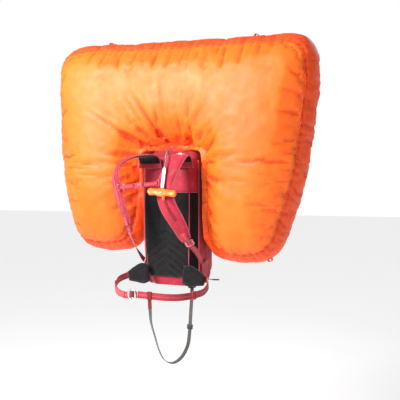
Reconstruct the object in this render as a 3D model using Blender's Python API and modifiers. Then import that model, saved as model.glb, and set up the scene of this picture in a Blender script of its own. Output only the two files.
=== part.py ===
"""Avalanche airbag backpack with its airbag inflated, hanging as it is worn.

Metres, +Z up. The origin lies on the flat face of the back panel. The wearer stands on the -Y side,
the load is on the +Y side, and +X is the wearer's left.
"""

import math

import bmesh
import bpy
from mathutils import Matrix, Vector

GAP = 0.0004                  # clearance between pieces that touch on the real pack

# Pack
PACK_TOP = 0.245
PACK_BOTTOM = -0.250
PACK_DEPTH = 0.178
SIDE_X = 0.1215               # half width of the pack at its sides
SHELL = 0.0016                # doubled fabric
PAD = 0.010                   # foam of the back panel
PANEL_X = 0.097               # half width of the panel's flat centre
STRIP_X = 0.119               # outer edge of the panel's angled side strips
STRIP_Y = 0.030
PANEL_SEAM = 0.1075           # height of the seam between the black panel and the red top
PANEL_BOTTOM = -0.218
LUMBAR_START = -0.060         # below this height the panel curves back
LUMBAR_ROWS = (-0.17, -0.13, -0.095, LUMBAR_START)
LUMBAR_BACK = 0.020
LUMBAR_IN = 0.013

# Airbag
BAG_MIDDLE = 0.100            # the pillow's middle plane, in Y
BAG_TILT = math.radians(2.5)
BAG_CENTRE_Z = 0.270          # the height about which the pillow is tilted
BAG_THICK = 0.132             # half thickness of the cage away from its edge
BAG_EDGE = 0.082              # half thickness of the cage at its edge
NOTCH_TOP = 0.262
NOTCH_X = 0.1300

# Harness
WEBBING = 0.0016
SHOULDER_THICK = 0.011
HARNESS_WIDTH = 0.020         # webbing below the shoulder pads
STERNUM_WIDTH = 0.016
LEG_WIDTH = 0.015
WING_THICK = 0.013

# Inflator
GAS_AXIS = Vector((-0.045, 0.085))
INTAKE_AXIS = Vector((0.030, 0.085))
CYLINDER_RADIUS = 0.029
BLOCK_BOTTOM = 0.150
BLOCK_TOP = 0.205


# ---------------------------------------------------------------- tools

def empty_scene():
    for item in list(bpy.data.objects):
        bpy.data.objects.remove(item, do_unlink=True)


def new_collection(name):
    group = bpy.data.collections.new(name)
    bpy.context.scene.collection.children.link(group)
    return group


def finish(name, colour, roughness, metallic=0.0):
    """A Principled material."""
    material = bpy.data.materials.new(name)
    material.use_nodes = True
    shader = material.node_tree.nodes["Principled BSDF"]
    shader.inputs["Base Color"].default_value = (*colour, 1.0)
    shader.inputs["Roughness"].default_value = roughness
    shader.inputs["Metallic"].default_value = metallic
    return material


def add(name, data, material):
    """Put a mesh or a curve into the parts collection as one named object."""
    item = bpy.data.objects.new(name, data)
    data.materials.append(material)
    PARTS.objects.link(item)
    return item


def to_mesh(bm, name):
    bmesh.ops.recalc_face_normals(bm, faces=bm.faces)
    mesh = bpy.data.meshes.new(name)
    bm.to_mesh(mesh)
    bm.free()
    mesh.shade_smooth()
    mesh.set_sharp_from_angle(angle=math.radians(35))
    return mesh


def move_about(name, place, items):
    """Parent moving pieces, where they are, to an empty on their joint's axis."""
    pivot = bpy.data.objects.new(name, None)
    pivot.location = place
    pivot.empty_display_size = 0.01
    PARTS.objects.link(pivot)
    for item in items:
        item.parent = pivot
        item.matrix_parent_inverse = Matrix.Translation(place).inverted()


def bevel(item, width, segments=2, angle=40):
    change = item.modifiers.new("rounded_edges", "BEVEL")
    change.width = width
    change.segments = segments
    change.limit_method = "ANGLE"
    change.angle_limit = math.radians(angle)


def thicken(item, thickness, offset=0.0):
    change = item.modifiers.new("thickness", "SOLIDIFY")
    change.thickness = thickness
    change.offset = offset
    change.use_even_offset = True


def box(name, size, place, material, rounding=0.0, segments=2):
    """A block of the given size; place is a point or a matrix."""
    bm = bmesh.new()
    bmesh.ops.create_cube(bm, size=1.0)
    bmesh.ops.scale(bm, vec=size, verts=bm.verts)
    item = add(name, to_mesh(bm, name), material)
    item.matrix_world = place if isinstance(place, Matrix) else Matrix.Translation(place)
    if rounding:
        bevel(item, rounding, segments)
    return item


def rod(name, start, end, radius, material, sides=16):
    start, end = Vector(start), Vector(end)
    bm = bmesh.new()
    bmesh.ops.create_cone(bm, cap_ends=True, segments=sides, radius1=radius, radius2=radius,
                          depth=(end - start).length)
    item = add(name, to_mesh(bm, name), material)
    turn = (end - start).to_track_quat("Z", "Y").to_matrix().to_4x4()
    item.matrix_world = Matrix.Translation((start + end) / 2) @ turn
    return item


def turned(name, profile, axis, material, steps=24, closed=False):
    """A turned piece on a vertical axis; profile is (radius, height), top to bottom outside."""
    bm = bmesh.new()
    verts = [bm.verts.new((radius, 0, height)) for radius, height in profile]
    for first, second in zip(verts, verts[1:]):
        bm.edges.new((first, second))
    if closed:
        bm.edges.new((verts[-1], verts[0]))
    mesh = bpy.data.meshes.new(name)
    bm.to_mesh(mesh)
    bm.free()
    item = add(name, mesh, material)
    item.location = (axis[0], axis[1], 0)
    change = item.modifiers.new("turned", "SCREW")
    change.steps = steps
    change.render_steps = steps
    change.use_merge_vertices = True
    change.merge_threshold = 0.00005
    return item


def smooth(knots, spacing):
    """Points at about the given spacing on a Catmull-Rom curve through knots of any length."""
    knots = [Vector(knot) for knot in knots]
    ends = [2 * knots[0] - knots[1], *knots, 2 * knots[-1] - knots[-2]]
    points = []
    for a, b, c, d in zip(ends, ends[1:], ends[2:], ends[3:]):
        count = max(1, round((c - b).length / spacing))
        for step in range(count):
            t = step / count
            points.append(0.5 * (2 * b + (c - a) * t + (2 * a - 5 * b + 4 * c - d) * t * t
                                 + (3 * b - 3 * c + d - a) * t ** 3))
    points.append(knots[-1])
    return points


def tube(name, points, radius, material, resolution=2):
    curve = bpy.data.curves.new(name, "CURVE")
    curve.dimensions = "3D"
    curve.bevel_depth = radius
    curve.bevel_resolution = resolution
    curve.use_fill_caps = True
    spline = curve.splines.new("POLY")
    spline.points.add(len(points) - 1)
    for target, point in zip(spline.points, points):
        target.co = (*point, 1.0)
    return add(name, curve, material)


def outline_plate(name, outlines, thickness, material, place):
    """A flat plate from 2D outlines (the first is the edge, the others are holes)."""
    curve = bpy.data.curves.new(name, "CURVE")
    curve.dimensions = "2D"
    curve.fill_mode = "BOTH"
    curve.extrude = thickness / 2
    for outline in outlines:
        spline = curve.splines.new("POLY")
        spline.points.add(len(outline) - 1)
        for target, (x, y) in zip(spline.points, outline):
            target.co = (x, y, 0.0, 1.0)
        spline.use_cyclic_u = True
    item = add(name, curve, material)
    item.matrix_world = place
    return item


def skin(name, rows, material, closed=False, floor=False):
    """A surface between rows of points that all have the same count."""
    bm = bmesh.new()
    grid = [[bm.verts.new(point) for point in row] for row in rows]
    count = len(grid[0])
    for lower, upper in zip(grid, grid[1:]):
        for i in range(count if closed else count - 1):
            j = (i + 1) % count
            bm.faces.new((lower[i], lower[j], upper[j], upper[i]))
    if floor:
        bm.faces.new(grid[0])
    return add(name, to_mesh(bm, name), material)


def frame_at(centre, along, normal):
    """A matrix with its X along a direction and its Z nearest to a normal."""
    x = Vector(along).normalized()
    y = Vector(normal).cross(x).normalized()
    z = x.cross(y)
    turn = Matrix((x, y, z)).transposed().to_4x4()
    return Matrix.Translation(centre) @ turn


def strap(name, knots, thickness, material, spacing=0.014, rounding=0.0):
    """A flat band through knots (x, y, z, normal x, y, z, width)."""
    rows = []
    stations = smooth_any(knots, spacing)
    for index, station in enumerate(stations):
        before = stations[max(index - 1, 0)]
        after = stations[min(index + 1, len(stations) - 1)]
        along = Vector(after[:3]) - Vector(before[:3])
        across = along.cross(Vector(station[3:6])).normalized() * station[6] / 2
        centre = Vector(station[:3])
        rows.append((centre - across, centre + across))
    item = skin(name, rows, material)
    thicken(item, thickness)
    if rounding:
        bevel(item, rounding, 1, 60)
    return item


def smooth_any(knots, spacing):
    """The Catmull-Rom curve of smooth() for knots of seven numbers, spaced by their first three."""
    columns = list(zip(*knots))
    ends = [[2 * c[0] - c[1], *c, 2 * c[-1] - c[-2]] for c in columns]
    places = [Vector(knot[:3]) for knot in knots]
    stations = []
    for i, (here, there) in enumerate(zip(places, places[1:])):
        count = max(1, round((there - here).length / spacing))
        for step in range(count):
            t = step / count
            station = []
            for c in ends:
                a, b, d, e = c[i:i + 4]
                station.append(0.5 * (2 * b + (d - a) * t + (2 * a - 5 * b + 4 * d - e) * t * t
                                      + (3 * b - 3 * d + e - a) * t ** 3))
            stations.append(station)
    stations.append(list(knots[-1]))
    return stations


def cut(target, tool):
    """Boolean difference with a tool object, which is hidden and moved to the cutters collection."""
    change = target.modifiers.new("cut", "BOOLEAN")
    change.operation = "DIFFERENCE"
    change.solver = "EXACT"
    change.object = tool
    tool.hide_render = True
    tool.display_type = "WIRE"
    PARTS.objects.unlink(tool)
    CUTTERS.objects.link(tool)


def sides():
    """The wearer's left (+X) and right (-X)."""
    return (("left", 1.0), ("right", -1.0))


def rounded_rectangle(width, height, radius, corner_points=4):
    points = []
    for quarter in range(4):
        sign_x = 1 if quarter in (0, 3) else -1
        sign_y = 1 if quarter in (0, 1) else -1
        for step in range(corner_points + 1):
            angle = math.radians(90 * (quarter + step / corner_points))
            points.append((sign_x * (width / 2 - radius) + radius * math.cos(angle),
                           sign_y * (height / 2 - radius) + radius * math.sin(angle)))
    return points


def circle(radius, count, centre=(0.0, 0.0)):
    return [(centre[0] + radius * math.cos(2 * math.pi * i / count),
             centre[1] + radius * math.sin(2 * math.pi * i / count)) for i in range(count)]


# ---------------------------------------------------------------- back panel and pack shell

def lumbar(z):
    """How far down the lumbar curve a height is, from 0 to 1."""
    return min(1.0, max(0.0, (LUMBAR_START - z) / (LUMBAR_START - PACK_BOTTOM)))


def panel_row(z, narrow=0.0):
    """The front line of the back panel at one height: flat centre and two angled strips."""
    back = LUMBAR_BACK * lumbar(z) ** 1.3
    inward = LUMBAR_IN * lumbar(z) + narrow
    return [(-STRIP_X + inward * 0.5, STRIP_Y + back, z), (-PANEL_X + inward, back, z),
            (PANEL_X - inward, back, z), (STRIP_X - inward * 0.5, STRIP_Y + back, z)]


def back_panel():
    heights = (PANEL_BOTTOM, *LUMBAR_ROWS, PANEL_SEAM)
    panel = skin("back_panel", [panel_row(z) for z in heights], BLACK_MESH)
    thicken(panel, PAD, -1.0)
    top_rows = [panel_row(z, narrow) for z, narrow in
                ((PANEL_SEAM + GAP, 0), (0.195, 0), (0.220, 0.0045), (0.243, 0.012))]
    top = skin("back_panel_top", top_rows, CRIMSON)
    thicken(top, PAD, -1.0)


def body_row(z, depth, shrink=0.0):
    """One closed outline of the pack shell, from the front right round the back."""
    panel = panel_row(z)
    inner, outer = panel[2], panel[3]
    front = inner[1] + PAD + 4 * GAP
    side = SIDE_X - shrink
    half = [(0.0, front), (inner[0] - 0.0068 - shrink, front),
            (outer[0] - 0.0086 - shrink * 0.55, outer[1] + 0.0080), (side, outer[1] + 0.0045),
            (side + 0.001, 0.085), (side - 0.002, depth - 0.045),
            (side - 0.014, depth - 0.015), (side - 0.040, depth), (0.0, depth)]
    mirrored = [(-x, y) for x, y in reversed(half[1:-1])]
    return [(x, y, z) for x, y in half + mirrored]


def pack_body():
    rows = [body_row(PACK_BOTTOM, 0.140, 0.012), body_row(-0.238, 0.158, 0.003),
            body_row(-0.205, 0.170), *(body_row(z, PACK_DEPTH) for z in LUMBAR_ROWS),
            body_row(0.195, PACK_DEPTH), body_row(PACK_TOP - 0.006, 0.166, 0.012)]
    shell = skin("pack_body", rows, CRIMSON, closed=True, floor=True)
    thicken(shell, SHELL, -1.0)


def piping():
    for side, sign in sides():
        front = []
        for z in (PANEL_BOTTOM + 0.004, -0.17, -0.11, LUMBAR_START, 0.02, PANEL_SEAM - 0.002):
            crease = panel_row(z)[2]
            front.append((sign * (crease[0] + 0.0022), crease[1] - 0.0003, z))
        tube(f"panel_piping_{side}", smooth(front, 0.03), 0.0015, PIPING)


def frame_sheet_and_stay():
    heights = (-0.205, *LUMBAR_ROWS, 0.200)
    rows = [[(x, LUMBAR_BACK * lumbar(z) ** 1.3 + 0.0145, z) for x in (-0.080, 0.080)]
            for z in heights]
    thicken(skin("frame_sheet", rows, BLACK_PLASTIC), 0.0012)
    leg = [(0.070, LUMBAR_BACK * lumbar(z) ** 1.3 + 0.0185, z) for z in (-0.19, *LUMBAR_ROWS)]
    top = [(0.070, 0.0185, 0.165), (0.052, 0.0185, 0.187), (0.0, 0.0185, 0.190)]
    half = leg + top
    route = half + [(-x, y, z) for x, y, z in reversed(half[:-1])]
    tube("frame_stay", smooth(route, 0.028), 0.0020, ALUMINIUM)


def main_zip():
    """An arch-shaped zip on the rear wall, and its slider on the wearer's left leg of the arch."""
    leg_x, foot, crown, corner, half = 0.066, -0.050, 0.180, 0.045, 0.011

    def arch(offset):
        points = [(leg_x + offset, foot)]
        for step in range(6):
            angle = math.radians(90 * step / 5)
            points.append((leg_x - corner + (corner + offset) * math.cos(angle),
                           crown - corner + (corner + offset) * math.sin(angle)))
        return points + [(-x, z) for x, z in reversed(points)]

    rear = Matrix.Translation((0, PACK_DEPTH + GAP + 0.0006, 0)) @ Matrix.Rotation(math.radians(90), 4, "X")
    outline_plate("zip_tape", [arch(half) + list(reversed(arch(-half)))], 0.0012, BLACK_WEBBING, rear)
    start = Vector((leg_x, PACK_DEPTH + 0.0040, 0.095))
    slider = box("zip_slider", (0.010, 0.0035, 0.013), start, BLACK_PLASTIC, 0.001)
    pull = box("zip_pull", (0.006, 0.0022, 0.030), start + Vector((0, 0.0033, -0.012)), PIPING, 0.0009)
    move_about("zip_travel", start, [slider, pull])


def side_straps():
    """A compression strap and its buckle on each side of the pack, and one lower tool loop."""
    for side, sign in sides():
        x = sign * (SIDE_X + 0.001 + 0.0018)
        height = 0.083
        knots = [(x, 0.050, height, sign, 0, 0, 0.018), (x, 0.085, height, sign, 0, 0, 0.018),
                 (x - sign * 0.0005, 0.108, height, sign, 0, 0, 0.018)]
        strap(f"side_strap_{side}", knots, WEBBING, CRIMSON, 0.03)
        box(f"side_buckle_{side}", (0.0065, 0.028, 0.021), (x + sign * 0.0012, 0.1226, height),
            BLACK_PLASTIC, 0.0015)
    loop_x = SIDE_X - 0.006
    outline = rounded_rectangle(0.030, 0.022, 0.009)
    hole = rounded_rectangle(0.022, 0.014, 0.006)
    place = Matrix.Translation((loop_x + 0.0150, 0.158, -0.236))
    outline_plate("tool_loop", [outline, hole], 0.0030, BLACK_WEBBING, place)


# ---------------------------------------------------------------- airbag

def airbag():
    """The inflated pillow: a U-shaped cage, rounded by subdivision, cut clear of the pack."""
    across = {0: (0.0, 0.160, 0.330, 0.480, 0.560), 1: (0.0, 0.150, 0.320, 0.450, 0.572),
              2: (0.0, 0.095, 0.290, 0.430, 0.545), 3: (None, 0.095, 0.270, 0.390, 0.500),
              4: (None, 0.140, 0.240, 0.350, 0.450)}
    heights = {0: (0.708, 0.708, 0.712, 0.715, 0.680), 1: (0.500,) * 5, 2: (0.235,) * 5,
               3: (0.050,) * 5, 4: (None, -0.125, -0.150, -0.155, -0.120)}
    edge = {(0, i) for i in range(5)} | {(row, 4) for row in range(5)} | {(4, i) for i in range(1, 5)}
    edge |= {(2, 0), (2, 1), (3, 1)}
    bm = bmesh.new()
    front, back = {}, {}
    for row in range(5):
        for column in range(5):
            if across[row][column] is None:
                continue
            half = BAG_EDGE if (row, column) in edge else BAG_THICK
            if row in (1, 2, 3) and column == 2:
                half = BAG_THICK * 1.05
            x, z = across[row][column], heights[row][column]
            front[row, column] = bm.verts.new((x, -half, z))
            back[row, column] = bm.verts.new((x, half, z))
    cells = [(row, column) for row in range(4) for column in range(4) if row < 2 or column > 0]
    for row, column in cells:
        corners = [(row, column), (row + 1, column), (row + 1, column + 1), (row, column + 1)]
        bm.faces.new([front[c] for c in corners])
        bm.faces.new([back[c] for c in reversed(corners)])
        for first, second in zip(corners, corners[1:] + corners[:1]):
            if first in edge and second in edge and is_rim(first, second):
                if not {first, second} <= {(0, 0), (1, 0), (2, 0)}:
                    bm.faces.new((front[second], front[first], back[first], back[second]))
    bag = add("airbag", to_mesh(bm, "airbag"), ORANGE)
    mirror = bag.modifiers.new("both_lobes", "MIRROR")
    mirror.merge_threshold = 0.0001
    rounded = bag.modifiers.new("inflated", "SUBSURF")
    rounded.levels = 2
    rounded.render_levels = 2
    centre = Matrix.Translation((-0.008, BAG_MIDDLE, BAG_CENTRE_Z))
    tilt = Matrix.Rotation(BAG_TILT, 4, "Y")
    bag.matrix_world = centre @ tilt @ Matrix.Translation((0, 0, -BAG_CENTRE_Z))
    room = box("pack_room", (2 * NOTCH_X, 0.36, 0.60), (0, 0.045, NOTCH_TOP - 0.300), ORANGE)
    cut(bag, room)


def is_rim(first, second):
    """Whether an edge of the airbag's cage lies on its outline."""
    (row_a, column_a), (row_b, column_b) = sorted((first, second))
    if row_a == row_b:
        return row_a in (0, 4) or (row_a == 2 and column_a == 0)
    return column_a == 4 or (column_a == 1 and row_a >= 2)


def airbag_loops():
    """Small webbing loops sewn into the pillow's perimeter seam."""
    places = (("upper", (0.292, 0.6990), 2.5), ("outer", (0.5250, 0.175), -82.0))
    for name, (x, z), turn in places:
        place = Matrix.Translation((x, BAG_MIDDLE, z)) @ Matrix.Rotation(math.radians(turn), 4, "Y")
        box(f"airbag_loop_{name}", (0.032, 0.004, 0.014), place, ORANGE, 0.0015, 1)


def airbag_neck():
    """The fabric duct between the intake housing and the airbag, open at both ends."""
    low, high, outer, wall = 0.2520, NOTCH_TOP - GAP, 0.0335, 0.0015
    turned("airbag_neck", [(outer, high), (outer, low), (outer - wall, low), (outer - wall, high)],
           INTAKE_AXIS, ORANGE, 28, closed=True)


# ---------------------------------------------------------------- inflator

def gas_cylinder():
    r = CYLINDER_RADIUS
    neck, foot = 0.0115, -0.055
    bore, depth = 0.0040, 0.010
    top = 0.1660
    profile = [(bore, top), (neck, top), (neck, 0.146), (0.0135, 0.142), (0.024, 0.134), (r, 0.120),
               (r, foot + 0.014), (r - 0.005, foot + 0.004), (r - 0.015, foot), (0.0, foot)]
    profile = [(0.0, top - depth), (bore, top - depth)] + profile
    cylinder = turned("gas_cylinder", profile, GAS_AXIS, STEEL, 28)
    move_about("cylinder_unscrew", Vector((*GAS_AXIS, neck)), [cylinder])


def inflator_block():
    """The block holds the cylinder's neck in its lower bore and the piercing pin in the upper."""
    outer, wide, narrow, step = 0.024, 0.0122, 0.0072, 0.170
    profile = [(outer, BLOCK_TOP - 0.002), (outer, BLOCK_BOTTOM), (wide, BLOCK_BOTTOM), (wide, step),
               (narrow, step), (narrow, BLOCK_TOP), (outer - 0.002, BLOCK_TOP)]
    turned("inflator_block", profile, GAS_AXIS, ALUMINIUM, 28, closed=True)


def piercing_pin():
    head_top = BLOCK_TOP - 0.0005
    head, shank, point = 0.0048, 0.0022, 0.1680
    profile = [(0.0, head_top), (head, head_top), (head, head_top - 0.004), (shank, head_top - 0.004),
               (shank, point + 0.0055), (0.0, point)]
    pin = turned("piercing_pin", profile, GAS_AXIS, STEEL, 16)
    move_about("pin_drive", Vector((*GAS_AXIS, head_top)), [pin])


def return_spring():
    turns, radius, low, high, per_turn = 5, 0.0042, 0.1735, 0.1915, 10
    count = turns * per_turn
    points = [(GAS_AXIS.x + radius * math.cos(2 * math.pi * i / per_turn),
               GAS_AXIS.y + radius * math.sin(2 * math.pi * i / per_turn),
               low + (high - low) * i / count) for i in range(count + 1)]
    tube("return_spring", points, 0.0006, STEEL, 1)


LEVER_PIVOT = Vector((GAS_AXIS.x, GAS_AXIS.y - 0.017, 0.2140))


def trigger_lever():
    """A balanced first-class lever: the cable lifts its wearer-side arm, its nose pushes the pin."""
    outline = [(-0.0260, 0.0050), (-0.0220, 0.0085), (-0.0060, 0.0045), (0.0060, 0.0045),
               (0.0110, 0.0104), (0.0215, 0.0104), (0.0215, -0.0090), (0.0155, -0.0090),
               (0.0125, -0.0040), (0.0040, -0.0050), (-0.0050, -0.0060), (-0.0105, -0.0159),
               (-0.0165, -0.0040), (-0.0250, 0.0005)]
    hole = circle(0.0019, 12)
    side_on = Matrix(((0, 0, 1, 0), (1, 0, 0, 0), (0, 1, 0, 0), (0, 0, 0, 1)))
    place = Matrix.Translation(LEVER_PIVOT) @ side_on
    lever = outline_plate("trigger_lever", [outline, hole], 0.004, STEEL, place)
    move_about("lever_turn", LEVER_PIVOT, [lever])
    rod("lever_pin", LEVER_PIVOT - Vector((0.0085, 0, 0)), LEVER_PIVOT + Vector((0.0085, 0, 0)),
        0.0015, STEEL, 12)
    cheek = [(-0.0045, -0.0085), (0.0045, -0.0085), (0.0045, 0.0020), (0.0020, 0.0045),
             (-0.0020, 0.0045), (-0.0045, 0.0020)]
    outline_plate("lever_bracket", [cheek, circle(0.0019, 12)], 0.0020, ALUMINIUM,
                  Matrix.Translation((0.0052, 0, 0)) @ place)


def intake():
    """The intake housing draws in outside air; its flap keeps the air in the bag."""
    outer, bore, low, high = 0.0370, 0.0285, 0.196, 0.2515
    profile = [(outer, high - 0.012), (outer, low), (bore, low), (bore, high), (0.0310, high),
               (0.0310, high - 0.012)]
    turned("intake_housing", profile, INTAKE_AXIS, BLACK_PLASTIC, 28, closed=True)
    turned("neck_clamp", [(0.0365, 0.2595), (0.0365, 0.2535), (0.0340, 0.2535), (0.0340, 0.2595)],
           INTAKE_AXIS, STEEL, 28, closed=True)
    radius, upper, lower = 0.0268, 0.2080, 0.2062
    flap = turned("valve_flap", [(0.0, upper), (radius, upper), (radius, lower), (0.0, lower)],
                  INTAKE_AXIS, BLACK_RUBBER, 24)
    hinge = Vector((INTAKE_AXIS.x, INTAKE_AXIS.y + radius, (upper + lower) / 2))
    move_about("valve_swing", hinge, [flap])
    start = Vector((GAS_AXIS.x + 0.0245, GAS_AXIS.y, 0.190))
    end = Vector((INTAKE_AXIS.x - 0.0376, INTAKE_AXIS.y, 0.202))
    middle = (start + end) / 2
    route = [start, start + Vector((0.004, 0, 0.0005)), middle, end - Vector((0.004, 0, 0.0005)), end]
    tube("gas_tube", smooth(route, 0.004), 0.0040, STEEL, 2)


# ---------------------------------------------------------------- shoulder harness

# Knots of a strap are (x, y, z, normal x, y, z, width).
RIGHT_PAD = [
    (-0.069, -0.0075, 0.200, 0, 1, 0, 0.104),
    (-0.069, -0.0150, 0.232, 0, 0.8, 0.6, 0.098),
    (-0.074, -0.0400, 0.2470, -0.1, 0, 1, 0.085),
    (-0.1057, -0.080, 0.2420, -0.4, -0.4, 0.9, 0.074),
    (-0.140, -0.108, 0.2180, -0.65, -0.6, 0.5, 0.070),
    (-0.1537, -0.118, 0.174, -0.6, -0.8, 0.1, 0.070),
    (-0.1447, -0.120, 0.125, -0.5, -0.866, 0, 0.069),
    (-0.1278, -0.115, 0.061, -0.5, -0.866, 0, 0.064),
    (-0.1130, -0.107, 0.010, -0.45, -0.9, -0.1, 0.050),
    (-0.1090, -0.102, -0.012, -0.4, -0.9, -0.1, 0.036),
]
LEFT_PAD = [
    (0.069, -0.0075, 0.200, 0, 1, 0, 0.104),
    (0.069, -0.0150, 0.232, 0, 0.8, 0.6, 0.098),
    (0.0720, -0.0380, 0.2455, 0, 0, 1, 0.088),
    (0.0726, -0.070, 0.2150, 0, -0.75, 0.66, 0.075),
    (0.0630, -0.097, 0.167, 0, -0.95, 0.3, 0.070),
    (0.0570, -0.113, 0.1211, 0, -1, 0.1, 0.069),
    (0.0730, -0.115, 0.060, 0.1, -1, 0, 0.067),
    (0.1050, -0.103, 0.000, 0.25, -0.95, 0, 0.058),
    (0.1260, -0.088, -0.0500, 0.3, -0.9, -0.2, 0.046),
    (0.1345, -0.080, -0.0650, 0.3, -0.9, -0.3, 0.036),
]
# Centre, direction of pull and outward normal of each ladder lock.
RIGHT_LADDER = (Vector((-0.1078, -0.0985, -0.0270)), Vector((0.0, 0.22, -0.975)),
                Vector((-0.35, -0.92, -0.2)))
LEFT_LADDER = (Vector((0.1395, -0.0722, -0.0765)), Vector((0.28, 0.45, -0.84)),
               Vector((0.3, -0.85, -0.35)))
TAB_TIP_Y, TAB_TIP_Z = 0.046, -0.1600


def shoulder_pads():
    strap("shoulder_pad_right", RIGHT_PAD, SHOULDER_THICK, CRIMSON, 0.020, 0.003)
    strap("shoulder_pad_left", LEFT_PAD, SHOULDER_THICK, CRIMSON, 0.020, 0.003)


def ladder_locks():
    for side, (centre, along, normal) in (("right", RIGHT_LADDER), ("left", LEFT_LADDER)):
        outline = rounded_rectangle(0.022, 0.034, 0.004, 3)
        holes = [[(x + shift, y) for x, y in rounded_rectangle(0.0045, 0.024, 0.001, 1)]
                 for shift in (-0.0055, 0.0055)]
        lock = outline_plate(f"ladder_lock_{side}", [outline, *holes], 0.0040, BLACK_PLASTIC,
                             frame_at(centre, along, normal))
        move_about(f"ladder_{side}_tilt", centre - along.normalized() * 0.0085, [lock])


def lower_webbing():
    """Adjustable webbing from each ladder lock back to a fabric tab on the pack's side."""
    right = [(-0.1082, -0.0948, -0.0410, -0.35, -0.92, -0.2), (-0.1105, -0.082, -0.058, -0.4, -0.8, -0.3),
             (-0.1165, -0.055, -0.081, -0.5, -0.6, -0.5), (-0.1240, -0.018, -0.1135, -0.8, -0.4, -0.4),
             (-0.1290, 0.024, -0.1450, -1, -0.1, -0.1), (-0.1295, TAB_TIP_Y, TAB_TIP_Z, -1, 0, 0)]
    left = [(0.1430, -0.0665, -0.0870, 0.3, -0.85, -0.35), (0.1440, -0.045, -0.100, 0.5, -0.6, -0.4),
            (0.1400, -0.010, -0.120, 0.8, -0.3, -0.3), (0.1330, 0.026, -0.1455, 1, -0.1, -0.1),
            (0.1295, TAB_TIP_Y, TAB_TIP_Z, 1, 0, 0)]
    for side, sign, knots in (("left", 1.0, left), ("right", -1.0, right)):
        knots = [(*knot, HARNESS_WIDTH) for knot in knots]
        strap(f"shoulder_webbing_{side}", knots, WEBBING, PINK_WEBBING)
        rows = [[(sign * 0.1295, 0.0546, -0.1571), (sign * 0.1295, 0.0431, -0.1771)],
                [(sign * 0.1275, 0.0766, -0.1516), (sign * 0.1275, 0.0586, -0.2036)],
                [(sign * 0.1245, 0.0976, -0.1496), (sign * 0.1245, 0.0876, -0.2136)]]
        thicken(skin(f"strap_tab_{side}", rows, CRIMSON), 0.0024)


# ---------------------------------------------------------------- sternum strap and trigger

STERNUM_START = Vector((-0.1160, -0.1450, 0.1270))
STERNUM_END = Vector((0.0330, -0.1255, 0.1420))


def on_sternum(distance):
    return STERNUM_START + (STERNUM_END - STERNUM_START).normalized() * distance


def sternum_strap():
    along = STERNUM_END - STERNUM_START
    facing = Vector((0.1, -1, 0))
    length = along.length
    up = frame_at(Vector(), along, facing)

    def at(distance):
        return Matrix.Translation(on_sternum(distance)) @ up

    def band(name, start, end):
        a, b = on_sternum(start), on_sternum(end)
        knots = [(*point, *facing, STERNUM_WIDTH) for point in (a, (a + b) / 2, b)]
        strap(name, knots, WEBBING, PINK_WEBBING, 0.05)

    clip = (0.012, 0.024, 0.0060)
    box("sternum_clip_right", clip, at(-0.0065), PIPING, 0.0012)
    box("sternum_clip_left", clip, at(length + 0.0065), BLACK_PLASTIC, 0.0012)
    band("sternum_webbing_right", 0.0, 0.0560)
    band("sternum_webbing_left", 0.0985, length)
    box("sternum_tongue", (0.0120, 0.0170, 0.0050), at(0.0624), BLACK_PLASTIC, 0.0010)
    box("sternum_buckle", (0.0290, 0.0220, 0.0080), at(0.0834), BLACK_PLASTIC, 0.0018)
    frame = rounded_rectangle(0.0230, 0.0066, 0.002, 2)
    opening = rounded_rectangle(0.0180, 0.0034, 0.0008, 1)
    start = on_sternum(0.018)
    adjuster = outline_plate("sternum_adjuster", [frame, opening], 0.0090, BLACK_PLASTIC,
                             frame_at(start, along.cross(facing), along))
    move_about("sternum_length", start, [adjuster])


TRIGGER_TOP = Vector((0.0497, -0.0990, 0.1980))
TRIGGER_BOTTOM = Vector((0.0575, -0.1290, 0.1250))
TRIGGER_AXIS = (TRIGGER_BOTTOM - TRIGGER_TOP).normalized()


def trigger():
    """The T-grip hangs from a white sleeve on the wearer's left shoulder pad."""
    across = Vector((0.985, 0.173, -0.07)).normalized()
    normal = across.cross(TRIGGER_AXIS).normalized()
    hub = TRIGGER_BOTTOM + TRIGGER_AXIS * 0.0195
    grip = [(-0.054, -0.004), (-0.054, 0.010), (-0.046, 0.0155), (-0.020, 0.0125), (-0.009, 0.0165),
            (0.009, 0.0165), (0.020, 0.0125), (0.046, 0.0135), (0.055, 0.008), (0.056, -0.006),
            (0.048, -0.0130), (0.022, -0.0095), (0.010, -0.0150), (-0.010, -0.0150), (-0.022, -0.0095),
            (-0.044, -0.0130)]
    handle = outline_plate("trigger_handle", [grip], 0.015, AMBER, frame_at(hub, across, -normal))
    soft = handle.modifiers.new("weld", "WELD")
    soft.merge_threshold = 0.00005
    bevel(handle, 0.0040, 2)
    cable_start = hub - TRIGGER_AXIS * 0.0169
    cable = rod("trigger_cable", cable_start, cable_start - TRIGGER_AXIS * 0.066, 0.0012, STEEL, 10)
    move_about("trigger_pull", TRIGGER_BOTTOM, [handle, cable])
    sleeve = box("trigger_sleeve", (0.0135, 0.0060, (TRIGGER_TOP - TRIGGER_BOTTOM).length),
                 frame_at((TRIGGER_TOP + TRIGGER_BOTTOM) / 2, across, normal.cross(across)), WHITE, 0.0012)
    bore = rod("sleeve_bore", TRIGGER_TOP - TRIGGER_AXIS * 0.01, TRIGGER_BOTTOM + TRIGGER_AXIS * 0.01,
               0.0021, WHITE, 12)
    cut(sleeve, bore)


CABLE_ROUTE = [TRIGGER_TOP - TRIGGER_AXIS * 0.0006, Vector((0.0462, -0.0850, 0.2240)),
               Vector((0.0360, -0.0640, 0.2500)), Vector((0.0210, -0.0300, 0.2640)),
               Vector((0.0060, 0.0020, 0.2600)), Vector((-0.0080, 0.0280, 0.2500)),
               Vector((-0.0300, 0.0420, 0.2470)), Vector((-0.0440, 0.0450, 0.2400)),
               Vector((-0.0450, 0.0450, 0.2325))]


def cable_housing():
    tube("trigger_cable_housing", smooth(CABLE_ROUTE, 0.010), 0.0026, BLACK_PLASTIC, 2)


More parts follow.
